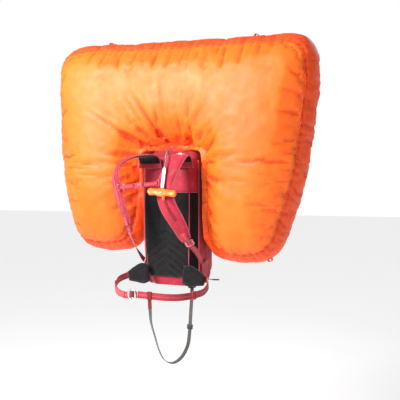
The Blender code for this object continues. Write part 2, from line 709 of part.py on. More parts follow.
# ---------------------------------------------------------------- hip belt and leg strap

BELT_RIGHT = [
    (-0.136, 0.0015, -0.206, 0, 1, 0, 0.022),
    (-0.160, 0.0015, -0.213, 0, 1, 0, 0.025),
    (-0.1795, -0.0100, -0.2200, -0.8, 0.6, 0, 0.025),
    (-0.1860, -0.050, -0.2300, -1, 0, 0, 0.025),
    (-0.1700, -0.092, -0.2430, -0.9, -0.4, 0, 0.025),
    (-0.1453, -0.130, -0.2517, -0.7, -0.7, 0, 0.025),
    (-0.1007, -0.175, -0.2590, -0.5, -0.8, 0, 0.025),
    (-0.0500, -0.2120, -0.2600, -0.4, -0.9, 0, 0.025),
    (-0.0290, -0.2215, -0.2580, -0.2, -1, 0, 0.025),
]
BELT_LEFT = [
    (0.136, 0.0015, -0.206, 0, 1, 0, 0.022),
    (0.160, 0.0015, -0.212, 0, 1, 0, 0.025),
    (0.1810, -0.0080, -0.2200, 0.8, 0.6, 0, 0.025),
    (0.1960, -0.038, -0.2350, 1, 0, 0, 0.025),
    (0.1975, -0.075, -0.2505, 1, -0.1, 0, 0.025),
    (0.1876, -0.120, -0.2560, 0.8, -0.5, 0, 0.025),
    (0.1587, -0.170, -0.2600, 0.6, -0.8, 0, 0.025),
    (0.1180, -0.205, -0.2585, 0.4, -0.9, 0, 0.025),
    (0.0667, -0.2260, -0.2540, 0.2, -1, 0, 0.025),
    (0.0180, -0.2315, -0.2518, 0, -1, 0, 0.025),
]
BUCKLE = Vector((-0.0045, -0.2345, -0.2525))


def hip_wings():
    for side, sign in sides():
        shape = ((0.074, -0.0080, -0.2020, 0.066), (0.105, -0.0082, -0.2060, 0.080),
                 (0.135, -0.0088, -0.2120, 0.062), (0.158, -0.0098, -0.2180, 0.044),
                 (0.169, -0.0108, -0.2200, 0.034))
        knots = [(sign * x, y, z, 0, 1, 0, width) for x, y, z, width in shape]
        strap(f"hip_wing_{side}", knots, WING_THICK, BLACK_MESH, 0.020, 0.003)


def hip_belt():
    strap("hip_webbing_right", BELT_RIGHT, WEBBING, PINK_WEBBING)
    strap("hip_webbing_left", BELT_LEFT, WEBBING, PINK_WEBBING)
    facing = Vector((-0.12, -1, 0)).normalized()
    along = Vector((0, 0, 1)).cross(facing).normalized()
    place = frame_at(BUCKLE, along, facing)
    slots = [[(x + shift, y) for x, y in rounded_rectangle(0.0062, 0.0265, 0.002, 2)]
             for shift in (-0.0072, 0.0072)]
    ring = outline_plate("hip_buckle_frame", [circle(0.0195, 28), *slots], 0.0036, BRIGHT_METAL, place)
    move_about("hip_ring_swing", BUCKLE - along * 0.0190, [ring])
    plate = rounded_rectangle(0.0300, 0.0280, 0.005, 3)
    slot = [(x + 0.0105, y) for x, y in rounded_rectangle(0.0035, 0.0230, 0.001, 1)]
    behind = Matrix.Translation(-facing * 0.0050)
    outline_plate("hip_buckle_plate", [plate, slot], 0.0026, BRIGHT_METAL, behind @ place)


LEG_LOOP = Vector((0.0640, -0.2265, -0.2538))
LEG_ROUTE = [(0.0628, -0.2215, -0.3012), (0.0622, -0.2140, -0.3480), (0.0620, -0.1870, -0.4060),
             (0.0620, -0.1600, -0.4580), (0.0615, -0.1200, -0.5026), (0.0620, -0.0600, -0.5260),
             (0.0612, 0.0050, -0.5190), (0.0620, 0.0520, -0.4840), (0.0630, 0.0660, -0.4350),
             (0.0640, 0.0740, -0.3600), (0.0650, 0.0800, -0.3000), (0.0655, 0.0820, -0.2635)]


def leg_strap():
    """A webbing loop round the belt, the free strap below it, its adjuster and its anchor."""
    along = Vector((0.97, 0.14, 0.0)).normalized()
    section = frame_at(LEG_LOOP, Vector((0, 0, 1)).cross(along), along)
    ring = [rounded_rectangle(0.0078, 0.0300, 0.0026, 2), rounded_rectangle(0.0052, 0.0266, 0.0014, 2)]
    outline_plate("leg_strap_loop", ring, 0.0165, CRIMSON, section)
    tail = [(*(LEG_LOOP + Vector((-0.0006, 0.0010, -0.0158))), 0, -1, 0, LEG_WIDTH),
            (LEG_ROUTE[0][0] + 0.0004, -0.2240, -0.2850, 0, -1, 0, LEG_WIDTH),
            (LEG_ROUTE[0][0], LEG_ROUTE[0][1] - 0.0001, LEG_ROUTE[0][2] + 0.0006, 0, -1, 0, LEG_WIDTH)]
    strap("leg_strap_tail", tail, 0.0026, CRIMSON)
    free = [(*point, *leg_normal(index), LEG_WIDTH) for index, point in enumerate(LEG_ROUTE)]
    strap("leg_strap", free, WEBBING, GREY_WEBBING, 0.016)
    low, high = Vector(LEG_ROUTE[8]), Vector(LEG_ROUTE[9])
    spot = low.lerp(high, 0.30)
    place = frame_at(spot, (1, 0, 0), high - low)
    frame = rounded_rectangle(0.0235, 0.0080, 0.002, 2)
    opening = rounded_rectangle(0.0172, 0.0038, 0.0008, 1)
    adjuster = outline_plate("leg_strap_adjuster", [frame, opening], 0.0180, BLACK_PLASTIC, place)
    move_about("leg_strap_length", spot, [adjuster])
    box("leg_strap_anchor", (0.020, 0.030, 0.0115), (0.0655, 0.0820, -0.2572), BLACK_WEBBING, 0.0015, 1)


def leg_normal(index):
    """The strap's face is square to its route, in the YZ plane."""
    before = Vector(LEG_ROUTE[max(index - 1, 0)])
    after = Vector(LEG_ROUTE[min(index + 1, len(LEG_ROUTE) - 1)])
    return Vector((1, 0, 0)).cross(after - before).normalized()


empty_scene()
PARTS = new_collection("avalanche_airbag_backpack")
CUTTERS = new_collection("cutters")
CRIMSON = finish("crimson_nylon", (0.61, 0.02, 0.05), 0.7)
BLACK_MESH = finish("black_mesh", (0.015, 0.015, 0.018), 0.8)
ORANGE = finish("orange_nylon", (1.0, 0.20, 0.02), 0.5)
PIPING = finish("pink_piping", (0.75, 0.12, 0.16), 0.7)
PINK_WEBBING = finish("coral_webbing", (0.80, 0.07, 0.10), 0.6)
GREY_WEBBING = finish("grey_webbing", (0.18, 0.17, 0.16), 0.7)
BLACK_WEBBING = finish("black_webbing", (0.02, 0.02, 0.02), 0.7)
BLACK_PLASTIC = finish("black_plastic", (0.02, 0.02, 0.022), 0.4)
BLACK_RUBBER = finish("black_rubber", (0.03, 0.03, 0.03), 0.8)
AMBER = finish("amber_plastic", (1.0, 0.37, 0.02), 0.4)
WHITE = finish("white_fabric", (0.9, 0.88, 0.88), 0.6)
ALUMINIUM = finish("aluminium", (0.75, 0.75, 0.77), 0.35, 1.0)
STEEL = finish("steel", (0.6, 0.6, 0.62), 0.3, 1.0)
BRIGHT_METAL = finish("bright_metal", (0.85, 0.83, 0.80), 0.25, 1.0)

back_panel()
pack_body()
piping()
frame_sheet_and_stay()
main_zip()
side_straps()
airbag()
airbag_loops()
airbag_neck()
gas_cylinder()
inflator_block()
piercing_pin()
return_spring()
trigger_lever()
intake()
shoulder_pads()
ladder_locks()
lower_webbing()
sternum_strap()
trigger()
cable_housing()
hip_wings()
hip_belt()
leg_strap()
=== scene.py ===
"""Looks of the avalanche airbag backpack: soft goods, straps, buckles, materials, light and camera."""
import math

import bmesh
import bpy
import numpy as np
from mathutils import Matrix, Vector, noise
from mathutils.kdtree import KDTree


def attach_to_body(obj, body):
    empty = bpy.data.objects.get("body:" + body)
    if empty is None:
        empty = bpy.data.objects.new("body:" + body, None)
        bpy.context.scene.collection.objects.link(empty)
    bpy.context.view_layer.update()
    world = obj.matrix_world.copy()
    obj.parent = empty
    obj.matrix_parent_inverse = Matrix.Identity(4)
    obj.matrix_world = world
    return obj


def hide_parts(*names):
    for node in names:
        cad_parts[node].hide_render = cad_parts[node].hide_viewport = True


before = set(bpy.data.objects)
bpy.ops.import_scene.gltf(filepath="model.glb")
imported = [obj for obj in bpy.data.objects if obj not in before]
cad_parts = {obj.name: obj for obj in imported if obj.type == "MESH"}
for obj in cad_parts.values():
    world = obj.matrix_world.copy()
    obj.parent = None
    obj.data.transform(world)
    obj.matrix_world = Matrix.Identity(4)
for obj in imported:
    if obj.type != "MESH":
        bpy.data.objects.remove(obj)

SCENE = bpy.context.scene
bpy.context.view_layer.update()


# ------------------------------------------------------------------ camera

VIEW_TURN, VIEW_PITCH = math.radians(28), math.radians(0.8)
VIEW_DISTANCE, VIEW_ASIDE, VIEW_HEIGHT = 2.7087, 0.1271, 0.117
SENSOR_WIDTH, LENS = 36.0, 63.72


def camera():
    """The camera stands in front of the wearer's side, turned towards the wearer's left."""
    right = Vector((math.cos(VIEW_TURN), math.sin(VIEW_TURN), 0.0))
    ahead = Vector((-right.y, right.x, 0.0))
    data = bpy.data.cameras.new("camera")
    data.sensor_width = SENSOR_WIDTH
    data.lens = LENS
    item = bpy.data.objects.new("camera", data)
    item.location = -ahead * VIEW_DISTANCE + right * VIEW_ASIDE + Vector((0, 0, VIEW_HEIGHT))
    look = ahead * math.cos(VIEW_PITCH) - Vector((0, 0, math.sin(VIEW_PITCH)))
    item.rotation_euler = look.to_track_quat("-Z", "Y").to_euler()
    SCENE.collection.objects.link(item)
    SCENE.camera = item


camera()


# ------------------------------------------------------------------ small functions

SIDES = (("left", 1.0), ("right", -1.0))


def attach(item, body, slot_name, *nodes):
    """A piece rides on a body and stands for the CAD nodes named, which are hidden; slot_name is not used."""
    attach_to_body(item, body)
    if nodes:
        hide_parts(*nodes)
    return item


def grain(x, y, z):
    return noise.noise(Vector((x, y, z)))


def bell(offset, width):
    """A smooth bump of height 1 that fades out over about a width and a half."""
    return math.exp(-(offset / width) ** 2)


def clamp(value):
    return min(1.0, max(0.0, value))


def squared_circle(angle, power, other=None):
    """Cosine and sine of an angle, pushed out towards a square's corners by powers under 1."""
    c, s = math.cos(angle), math.sin(angle)
    return math.copysign(abs(c) ** power, c), math.copysign(abs(s) ** (other or power), s)


def distances(points):
    """How far along a line each of its points is."""
    return np.concatenate([[0.0], np.cumsum(np.linalg.norm(np.diff(points, axis=0), axis=1))])


def ring_distances(rings):
    """How far along a skin each of its rings is, on average."""
    steps = np.mean(np.linalg.norm(np.diff(rings, axis=0), axis=2), axis=1)
    return np.concatenate([[0.0], np.cumsum(steps)])


def at(s, along, values):
    """The value, a point or a direction, at a distance along a line."""
    return np.array([np.interp(s, along, values[:, k]) for k in range(3)])


# ------------------------------------------------------------------ node materials

class Look:
    """A Principled material and short ways to add nodes to it."""

    def __init__(self, name, roughness=0.6, metallic=0.0, sheen=0.0, specular=0.5, coat=0.0):
        self.material = bpy.data.materials.new(name)
        self.material.use_nodes = True
        self.tree = self.material.node_tree
        self.shader = self.tree.nodes["Principled BSDF"]
        self.shader.inputs["Roughness"].default_value = roughness
        self.shader.inputs["Metallic"].default_value = metallic
        self.shader.inputs["Sheen Weight"].default_value = sheen
        self.shader.inputs["Sheen Roughness"].default_value = 0.4
        self.shader.inputs["Specular IOR Level"].default_value = specular
        self.shader.inputs["Coat Weight"].default_value = coat
        self.place = self.node("ShaderNodeTexCoord")

    def node(self, kind, inputs=(), **settings):
        item = self.tree.nodes.new(kind)
        for key, value in settings.items():
            setattr(item, key, value)
        for key, value in dict(inputs).items():
            self.feed(item.inputs[key], value)
        return item

    def feed(self, socket, value):
        if isinstance(value, bpy.types.NodeSocket):
            self.tree.links.new(value, socket)
        else:
            socket.default_value = value

    def calc(self, operation, *values):
        item = self.node("ShaderNodeMath", dict(enumerate(values)), operation=operation)
        return item.outputs[0]

    def noise(self, scale, detail=3.0, where="Object", stretch=None, roughness=0.55):
        vector = self.place.outputs[where]
        if stretch:
            vector = self.node("ShaderNodeMapping", {"Vector": vector, "Scale": stretch}).outputs[0]
        return self.node("ShaderNodeTexNoise", {"Vector": vector, "Scale": scale, "Detail": detail,
                                                "Roughness": roughness}).outputs["Fac"]

    def ramp(self, value, low, high, start=0.0, end=1.0):
        return self.node("ShaderNodeMapRange", {"Value": value, "From Min": low, "From Max": high,
                                                "To Min": start, "To Max": end}).outputs[0]

    def mix(self, factor, first, second, blend="MIX"):
        item = self.node("ShaderNodeMix", data_type="RGBA", blend_type=blend)
        self.feed(item.inputs[0], factor)
        for socket, value in ((item.inputs[6], first), (item.inputs[7], second)):
            self.feed(socket, value if isinstance(value, bpy.types.NodeSocket) else (*value, 1.0))
        return item.outputs[2]

    def uv(self):
        parts = self.node("ShaderNodeSeparateXYZ", {0: self.place.outputs["UV"]})
        return parts.outputs[0], parts.outputs[1]

    def wave(self, value, pitch):
        turned = self.calc("MULTIPLY", value, 2 * math.pi / pitch)
        return self.calc("SINE", turned)

    def bump(self, height, strength, distance=0.0006):
        item = self.node("ShaderNodeBump", {"Height": height, "Strength": strength, "Distance": distance})
        self.feed(self.shader.inputs["Normal"], item.outputs[0])

    def colour(self, value):
        self.feed(self.shader.inputs["Base Color"], value)

    def rough(self, low, high, scale=40.0):
        value = self.ramp(self.noise(scale, 4.0), 0.3, 0.7, low, high)
        self.feed(self.shader.inputs["Roughness"], value)


    def edge_wear_and_hollow_shade(self, start, end, low=0.0, high=1.0):
        """How far a place stands out, mapped to low and high; hollows are under 0.5, edges over it. It gives
        wear on edges, and, in the ripstop, painted shade in hollows.
        """
        edges = self.node("ShaderNodeNewGeometry").outputs["Pointiness"]
        return self.ramp(edges, start, end, low, high)


def shade(colour, factor):
    return tuple(clamp(c * factor) for c in colour)


def woven(name, colour, pitch=0.0011, sheen=0.3, dark=0.72, light=1.18, grime=0.12, mottled=9.0,
          roughness=(0.55, 0.78), bump=0.5):
    """Plain-weave pack cloth: threads in two directions, patchy dye and rubbed, paler high spots."""
    look = Look(name, sheen=sheen, specular=0.35)
    u, v = look.uv()
    warp, weft = look.wave(u, pitch), look.wave(v, pitch)
    threads = look.calc("MULTIPLY", warp, weft)
    slub = look.noise(900.0, 2.0, "UV", (1.0, 0.12, 1.0))
    height = look.calc("ADD", look.calc("MULTIPLY", threads, 0.5), slub)
    patch = look.ramp(look.noise(mottled, 4.0), 0.35, 0.68)
    tone = look.mix(patch, shade(colour, dark), shade(colour, light))
    tone = look.mix(look.ramp(threads, -1.0, 1.0, 0.0, 0.28), tone, shade(colour, dark * 0.7))
    rubbed = look.edge_wear_and_hollow_shade(0.51, 0.58)
    tone = look.mix(look.calc("MULTIPLY", rubbed, 0.45), tone, shade(colour, 1.6))
    dust = look.ramp(look.noise(38.0, 6.0), 0.55, 0.75, 0.0, grime)
    look.colour(look.mix(dust, tone, (0.55, 0.45, 0.42)))
    look.rough(*roughness)
    look.bump(height, bump, 0.0004)
    return look.material


def ripstop(name, colour, deep, pale):
    """Light coated ripstop: a fine grid, soft crinkles and a low gloss; the deep colour is painted shade in
    the crinkles' troughs and in hollows.
    """
    look = Look(name, roughness=0.46, sheen=0.02, specular=0.36)
    u, v = look.uv()
    grid = []
    for value in (u, v):
        step = look.calc("PINGPONG", value, 0.0030)
        grid.append(look.ramp(step, 0.0, 0.0005, 1.0, 0.0))
    lines = look.calc("MAXIMUM", *grid)
    weave = look.calc("MULTIPLY", look.wave(u, 0.0008), look.wave(v, 0.0008))
    crinkle = look.noise(26.0, 7.0, roughness=0.62)
    fine = look.noise(140.0, 3.0)
    height = look.calc("ADD", look.calc("MULTIPLY", lines, 0.10), look.calc("MULTIPLY", weave, 0.03))
    height = look.calc("ADD", height, look.calc("MULTIPLY", crinkle, 1.1))
    height = look.calc("ADD", height, look.calc("MULTIPLY", fine, 0.12))
    patch = look.ramp(look.noise(4.5, 5.0), 0.38, 0.66)
    tone = look.mix(patch, colour, pale)
    # Painted shade: the colour turns towards deep in the crinkles' troughs.
    tone = look.mix(look.ramp(crinkle, 0.38, 0.62, 0.16, 0.0), tone, deep)
    tone = look.mix(look.calc("MULTIPLY", lines, 0.18), tone, shade(pale, 1.15))
    # Painted shade: hollows and creases, as where the bag meets the pack, turn to the deep colour.
    painted_hollow_shade = look.edge_wear_and_hollow_shade(0.46, 0.498, 0.75, 0.0)
    look.colour(look.mix(painted_hollow_shade, tone, deep))
    look.rough(0.40, 0.56, 22.0)
    look.bump(height, 0.55, 0.0022)
    return look.material


def webbing(name, colour, edge=0.7, pitch=0.0017, stripe=None, sheen=0.2):
    """Flat woven webbing: chevron ribs across the band, a firm selvedge rubbed paler, and fuzz."""
    look = Look(name, sheen=sheen, specular=0.3)
    u, v = look.uv()
    zigzag = look.calc("PINGPONG", look.calc("ADD", u, 0.1), 0.0026)
    ribs = look.wave(look.calc("ADD", v, zigzag), pitch)
    yarn = look.wave(u, 0.0009)
    height = look.calc("ADD", look.calc("MULTIPLY", ribs, 0.6), look.calc("MULTIPLY", yarn, 0.25))
    fuzz = look.noise(700.0, 3.0, "UV")
    height = look.calc("ADD", height, look.calc("MULTIPLY", fuzz, 0.5))
    patch = look.ramp(look.noise(30.0, 4.0), 0.35, 0.7)
    tone = look.mix(patch, shade(colour, 0.82), shade(colour, 1.18))
    tone = look.mix(look.ramp(ribs, -1.0, 1.0, 0.35, 0.0), tone, shade(colour, 0.55))
    if stripe:
        centre = look.ramp(look.calc("ABSOLUTE", u), 0.0022, 0.0030, 0.8, 0.0)
        tone = look.mix(centre, tone, stripe)
    rubbed = look.edge_wear_and_hollow_shade(0.52, 0.62, 0.0, 0.4)
    tone = look.mix(rubbed, tone, shade(colour, 1.5 * edge + 0.4))
    look.colour(tone)
    look.rough(0.55, 0.8)
    look.bump(height, 0.7, 0.0005)
    return look.material


def spacer_mesh(name, colour):
    """Open spacer mesh: rows of small dark holes with a pale yarn between them."""
    look = Look(name, sheen=0.25, specular=0.2)
    u, v = look.uv()
    across = look.calc("MULTIPLY", u, 1 / 0.0034)
    along = look.calc("MULTIPLY", v, 1 / 0.0042)
    row = look.calc("FLOOR", along)
    shift = look.calc("MULTIPLY", look.calc("MODULO", row, 2.0), 0.5)
    x = look.calc("SUBTRACT", look.calc("FRACT", look.calc("ADD", across, shift)), 0.5)
    y = look.calc("SUBTRACT", look.calc("FRACT", along), 0.5)
    reach = look.calc("SQRT", look.calc("ADD", look.calc("MULTIPLY", x, x), look.calc("MULTIPLY", y, y)))
    hole = look.ramp(reach, 0.24, 0.36, 1.0, 0.0)
    yarn = look.noise(1200.0, 2.0, "UV")
    patch = look.ramp(look.noise(14.0, 5.0), 0.35, 0.7)
    tone = look.mix(patch, shade(colour, 0.8), shade(colour, 1.5))
    tone = look.mix(look.ramp(yarn, 0.4, 0.7, 0.0, 0.5), tone, shade(colour, 2.4))
    tone = look.mix(look.calc("MULTIPLY", hole, 0.85), tone, shade(colour, 0.2))
    rubbed = look.edge_wear_and_hollow_shade(0.51, 0.58, 0.0, 0.5)
    look.colour(look.mix(rubbed, tone, shade(colour, 3.0)))
    look.rough(0.7, 0.95)
    look.bump(look.calc("SUBTRACT", look.calc("MULTIPLY", yarn, 0.3), hole), 0.8, 0.0007)
    return look.material


def moulded(name, colour, roughness=(0.32, 0.5), texture=0.25, coat=0.0):
    """Injection-moulded plastic: spark-eroded grain, scuffed edges, faint flow marks."""
    look = Look(name, specular=0.5, coat=coat)
    grain = look.noise(2600.0, 2.0)
    flow = look.ramp(look.noise(45.0, 3.0, "Object", (1.0, 1.0, 0.35)), 0.3, 0.7)
    scratch = look.ramp(look.noise(420.0, 2.0, "Object", (1.0, 0.06, 1.0)), 0.66, 0.72, 0.0, 0.45)
    tone = look.mix(flow, shade(colour, 0.85), shade(colour, 1.15))
    tone = look.mix(scratch, tone, shade(tuple(c + 0.03 for c in colour), 1.5))
    edge_wear_and_hollow_shade = look.edge_wear_and_hollow_shade(0.52, 0.60, 0.0, 0.6)
    look.colour(look.mix(edge_wear_and_hollow_shade, tone, shade(tuple(c + 0.04 for c in colour), 1.5)))
    look.rough(*roughness, 120.0)
    look.bump(grain, texture, 0.0002)
    return look.material


def metal(name, colour, roughness=(0.18, 0.34), brushed=(1.0, 1.0, 18.0), tarnish=0.25):
    """Metal with a brushed grain, fine scratches and a dull film in places."""
    look = Look(name, metallic=1.0)
    lines = look.noise(260.0, 4.0, "Object", brushed)
    film = look.ramp(look.noise(32.0, 6.0), 0.45, 0.75, 0.0, tarnish)
    tone = look.mix(look.ramp(lines, 0.3, 0.7), shade(colour, 0.85), shade(colour, 1.1))
    look.colour(look.mix(film, tone, shade(colour, 0.55)))
    value = look.calc("ADD", look.ramp(lines, 0.3, 0.7, *roughness), look.calc("MULTIPLY", film, 0.5))
    look.feed(look.shader.inputs["Roughness"], value)
    look.bump(lines, 0.15, 0.0002)
    return look.material


def thread(name, colour):
    """Twisted sewing thread."""
    look = Look(name, sheen=0.3, specular=0.3)
    twist = look.wave(look.noise(90.0, 1.0), 0.08)
    look.colour(look.mix(look.ramp(twist, -1.0, 1.0), shade(colour, 0.75), shade(colour, 1.15)))
    look.rough(0.55, 0.75)
    look.bump(twist, 0.4, 0.0002)
    return look.material


def braid(name, first, second):
    """A round braided cover in two colours; UV runs round and along the cord, in metres."""
    look = Look(name, sheen=0.2, specular=0.35)
    u, v = look.uv()
    left = look.wave(look.calc("ADD", u, v), 0.0052)
    right = look.wave(look.calc("SUBTRACT", u, v), 0.0052)
    cross = look.calc("MULTIPLY", left, right)
    fleck = look.ramp(cross, 0.25, 0.45)
    look.colour(look.mix(fleck, first, second))
    look.rough(0.5, 0.75)
    look.bump(cross, 0.5, 0.0005)
    return look.material


CRIMSON_RGB = (0.37, 0.006, 0.024)
# The second colour of each airbag cloth is the painted shade of its crinkle troughs and hollows.
ORANGE = ripstop("airbag ripstop", (0.97, 0.135, 0.006), (0.66, 0.022, 0.003), (1.0, 0.162, 0.008))
# The gusset's cloth is the airbag's own orange made darker and redder: painted shade on the bag's edges.
SHADED_ORANGE = ripstop("airbag gusset painted shade", (0.90, 0.076, 0.005), (0.56, 0.016, 0.003), (0.96, 0.092, 0.006))
CRIMSON = woven("crimson pack cloth", CRIMSON_RGB)
CRIMSON_LIGHT = woven("bright crimson cloth", (0.44, 0.011, 0.036), pitch=0.0008)
PIPING = webbing("pink piping", (0.52, 0.080, 0.115), pitch=0.0012)
CORAL = webbing("coral webbing", (0.50, 0.038, 0.060), stripe=(0.58, 0.085, 0.105))
DARK_RED = webbing("dark red webbing", (0.27, 0.008, 0.022))
GREY = webbing("grey webbing", (0.105, 0.098, 0.092))
BLACK_WEB = webbing("black webbing", (0.022, 0.022, 0.024))
MESH = spacer_mesh("black spacer mesh", (0.0050, 0.0046, 0.0056))
LINING = woven("black lining", (0.009, 0.009, 0.010), pitch=0.0006, sheen=0.1)
WHITE = woven("white trigger sleeve", (0.86, 0.80, 0.82), pitch=0.0007, grime=0.05, dark=0.9, light=1.08)
PLASTIC = moulded("black moulded plastic", (0.014, 0.014, 0.016))
PINK_PLASTIC = moulded("coral moulded plastic", (0.50, 0.045, 0.070), (0.28, 0.42))
FRAME_PLASTIC = moulded("pale pink moulded plastic", (0.50, 0.16, 0.16), (0.28, 0.42))
AMBER = moulded("amber trigger plastic", (0.95, 0.20, 0.010), (0.25, 0.40), 0.18, 0.15)
RED_PLASTIC = moulded("crimson moulded plastic", (0.42, 0.016, 0.045), (0.28, 0.42))
DARK_PLASTIC = moulded("dark crimson plastic", (0.20, 0.012, 0.028))
SHEET_PLASTIC = moulded("frame sheet plastic", (0.045, 0.045, 0.048), (0.38, 0.52))
PAINTED_STEEL = moulded("painted cylinder steel", (0.055, 0.060, 0.068), (0.20, 0.34), 0.12, 0.4)
RUBBER = moulded("black rubber", (0.028, 0.028, 0.030), (0.6, 0.85), 0.4)
STEEL = metal("brushed steel", (0.60, 0.60, 0.62))
ALUMINIUM = metal("machined aluminium", (0.78, 0.78, 0.80), (0.24, 0.40), (14.0, 14.0, 1.0))
BRIGHT = metal("polished buckle metal", (0.90, 0.86, 0.82), (0.12, 0.24), (1.0, 1.0, 6.0), 0.15)
RED_THREAD = thread("red thread", (0.32, 0.008, 0.024))
ORANGE_THREAD = thread("orange thread", (0.62, 0.034, 0.004))
BLACK_THREAD = thread("black thread", (0.035, 0.035, 0.038))
BRAID = braid("black and white braid", (0.03, 0.025, 0.03), (0.75, 0.68, 0.70))


# ------------------------------------------------------------------ mesh tools

def put(name, mesh, *materials):
    item = bpy.data.objects.new(name, mesh)
    for material in materials:
        mesh.materials.append(material)
    SCENE.collection.objects.link(item)
    return item


def outward(mesh):
    bm = bmesh.new()
    bm.from_mesh(mesh)
    bmesh.ops.recalc_face_normals(bm, faces=bm.faces)
    bm.to_mesh(mesh)
    bm.free()
    mesh.shade_smooth()
    return mesh


def loft(name, rings, u, v, materials, ring_slots=None, caps=True):
    """A closed skin over rings of points; u is each ring point's place across, v each ring's along."""
    count, points = rings.shape[:2]
    faces, uvs, slots = [], [], []
    for i in range(count - 1):
        for j in range(points):
            k = (j + 1) % points
            faces.append((i * points + j, i * points + k, (i + 1) * points + k, (i + 1) * points + j))
            end = u[k] if k else 2 * u[-1] - u[-2]
            far = end if abs(end - u[j]) < abs(u[k] - u[j]) else u[k]
            uvs += [(u[j], v[i]), (far, v[i]), (far, v[i + 1]), (u[j], v[i + 1])]
            slots.append(ring_slots[j] if ring_slots else 0)
    if caps:
        for i in (0, count - 1):
            faces.append(tuple(range(i * points, (i + 1) * points)))
            uvs += [(u[j], v[i]) for j in range(points)]
            slots.append(0)
    mesh = bpy.data.meshes.new(name)
    mesh.from_pydata(rings.reshape(-1, 3).tolist(), [], faces)
    layer = mesh.uv_layers.new(name="UVMap")
    layer.data.foreach_set("uv", np.array(uvs, np.float32).ravel())
    mesh.polygons.foreach_set("material_index", slots)
    return put(name, outward(mesh), *materials)


def route(knots, spacing):
    """The Catmull-Rom curve through knots, at about the given spacing of their first three numbers."""
    knots = np.array(knots, float)
    ends = np.vstack([2 * knots[0] - knots[1], knots, 2 * knots[-1] - knots[-2]])
    stations = []
    for a, b, c, d in zip(ends, ends[1:], ends[2:], ends[3:]):
        count = max(1, round(float(np.linalg.norm(c[:3] - b[:3])) / spacing))
        for step in range(count):
            t = step / count
            stations.append(0.5 * (2 * b + (c - a) * t + (2 * a - 5 * b + 4 * c - d) * t * t
                                   + (3 * b - 3 * c + d - a) * t ** 3))
    stations.append(knots[-1])
    return np.array(stations)


def unit(vectors):
    return vectors / np.linalg.norm(vectors, axis=-1, keepdims=True)


def frames(stations):
    """Centres, across and outward directions, and distance along, for a band's stations."""
    centre = stations[:, :3]
    ahead = unit(np.gradient(centre, axis=0))
    across = unit(np.cross(ahead, stations[:, 3:6]))
    out = np.cross(across, ahead)
    along = distances(centre)
    return centre, across, out, along


WEB_SECTION = [(-1.0, 0.0), (-0.97, 0.8), (-0.86, 1.0), (-0.45, 0.92), (0.0, 0.96), (0.45, 0.92), (0.86, 1.0),
               (0.97, 0.8), (1.0, 0.0), (0.97, -0.8), (0.86, -1.0), (0.45, -0.92), (0.0, -0.96),
               (-0.45, -0.92), (-0.86, -1.0), (-0.97, -0.8)]


def band(name, knots, thickness, material, spacing=0.005, ripple=0.0003, seed=0.0):
    """Flat webbing with a rounded selvedge; knots are (x, y, z, normal x, y, z, width)."""
    stations = route(knots, spacing)
    centre, across, out, along = frames(stations)
    half = stations[:, 6] / 2
    rings = np.empty((len(stations), len(WEB_SECTION), 3))
    for j, (a, b) in enumerate(WEB_SECTION):
        wobble = np.array([grain(s * 22.0, a * 0.7, seed) for s in along]) * ripple
        rings[:, j] = centre + across * (a * half)[:, None] + out * (b * thickness / 2 + wobble)[:, None]
    u = np.array([a for a, b in WEB_SECTION]) * float(np.mean(half))
    return loft(name, rings, u, along, [material])


def tube(name, points, radius, material, sides=10, caps=True):
    """A round cord along points; UV is in metres round and along."""
    points = np.array(points, float)
    ahead = unit(np.gradient(points, axis=0))
    side = np.cross(ahead[0], (0.3, 0.5, 0.81))
    rings = np.empty((len(points), sides, 3))
    radii = np.broadcast_to(np.asarray(radius, float), len(points))
    for i, (point, axis) in enumerate(zip(points, ahead)):
        side = side - axis * np.dot(side, axis)
        side = side / np.linalg.norm(side)
        up = np.cross(axis, side)
        for j in range(sides):
            angle = 2 * math.pi * j / sides
            rings[i, j] = point + radii[i] * (math.cos(angle) * side + math.sin(angle) * up)
    along = distances(points)
    u = np.arange(sides) * (2 * math.pi * float(np.mean(radii)) / sides)
    return loft(name, rings, u, along, [material], caps=caps)


def stitches(name, points, normals, material, pitch=0.0042, length=0.0028, radius=0.00042, lift=0.0002):
    """A row of short raised stitches that follow a line of points on a surface."""
    points, normals = np.array(points, float), unit(np.array(normals, float))
    along = distances(points)
    verts, faces = [], []
    for centre in np.arange(pitch, along[-1] - pitch / 2, pitch):
        place = [at(s, along, points) for s in (centre - length / 2, centre, centre + length / 2)]
        normal = at(centre, along, normals)
        normal /= np.linalg.norm(normal) + 1e-9
        ahead = place[2] - place[0]
        side = np.cross(normal, ahead)
        side *= radius / (np.linalg.norm(side) + 1e-9)
        first = len(verts)
        top = place[1] + normal * (lift + radius)
        verts += [place[0] + normal * (lift - radius), place[2] + normal * (lift - radius),
                  place[1] + side + normal * lift, place[1] - side + normal * lift, top,
                  place[1] + normal * (lift - radius)]
        a, b, c, d, e, f = range(first, first + 6)
        faces += [(a, c, e), (c, b, e), (b, d, e), (d, a, e), (c, a, f), (b, c, f), (d, b, f), (a, d, f)]
    mesh = bpy.data.meshes.new(name)
    mesh.from_pydata([tuple(p) for p in verts], [], faces)
    return put(name, outward(mesh), material)


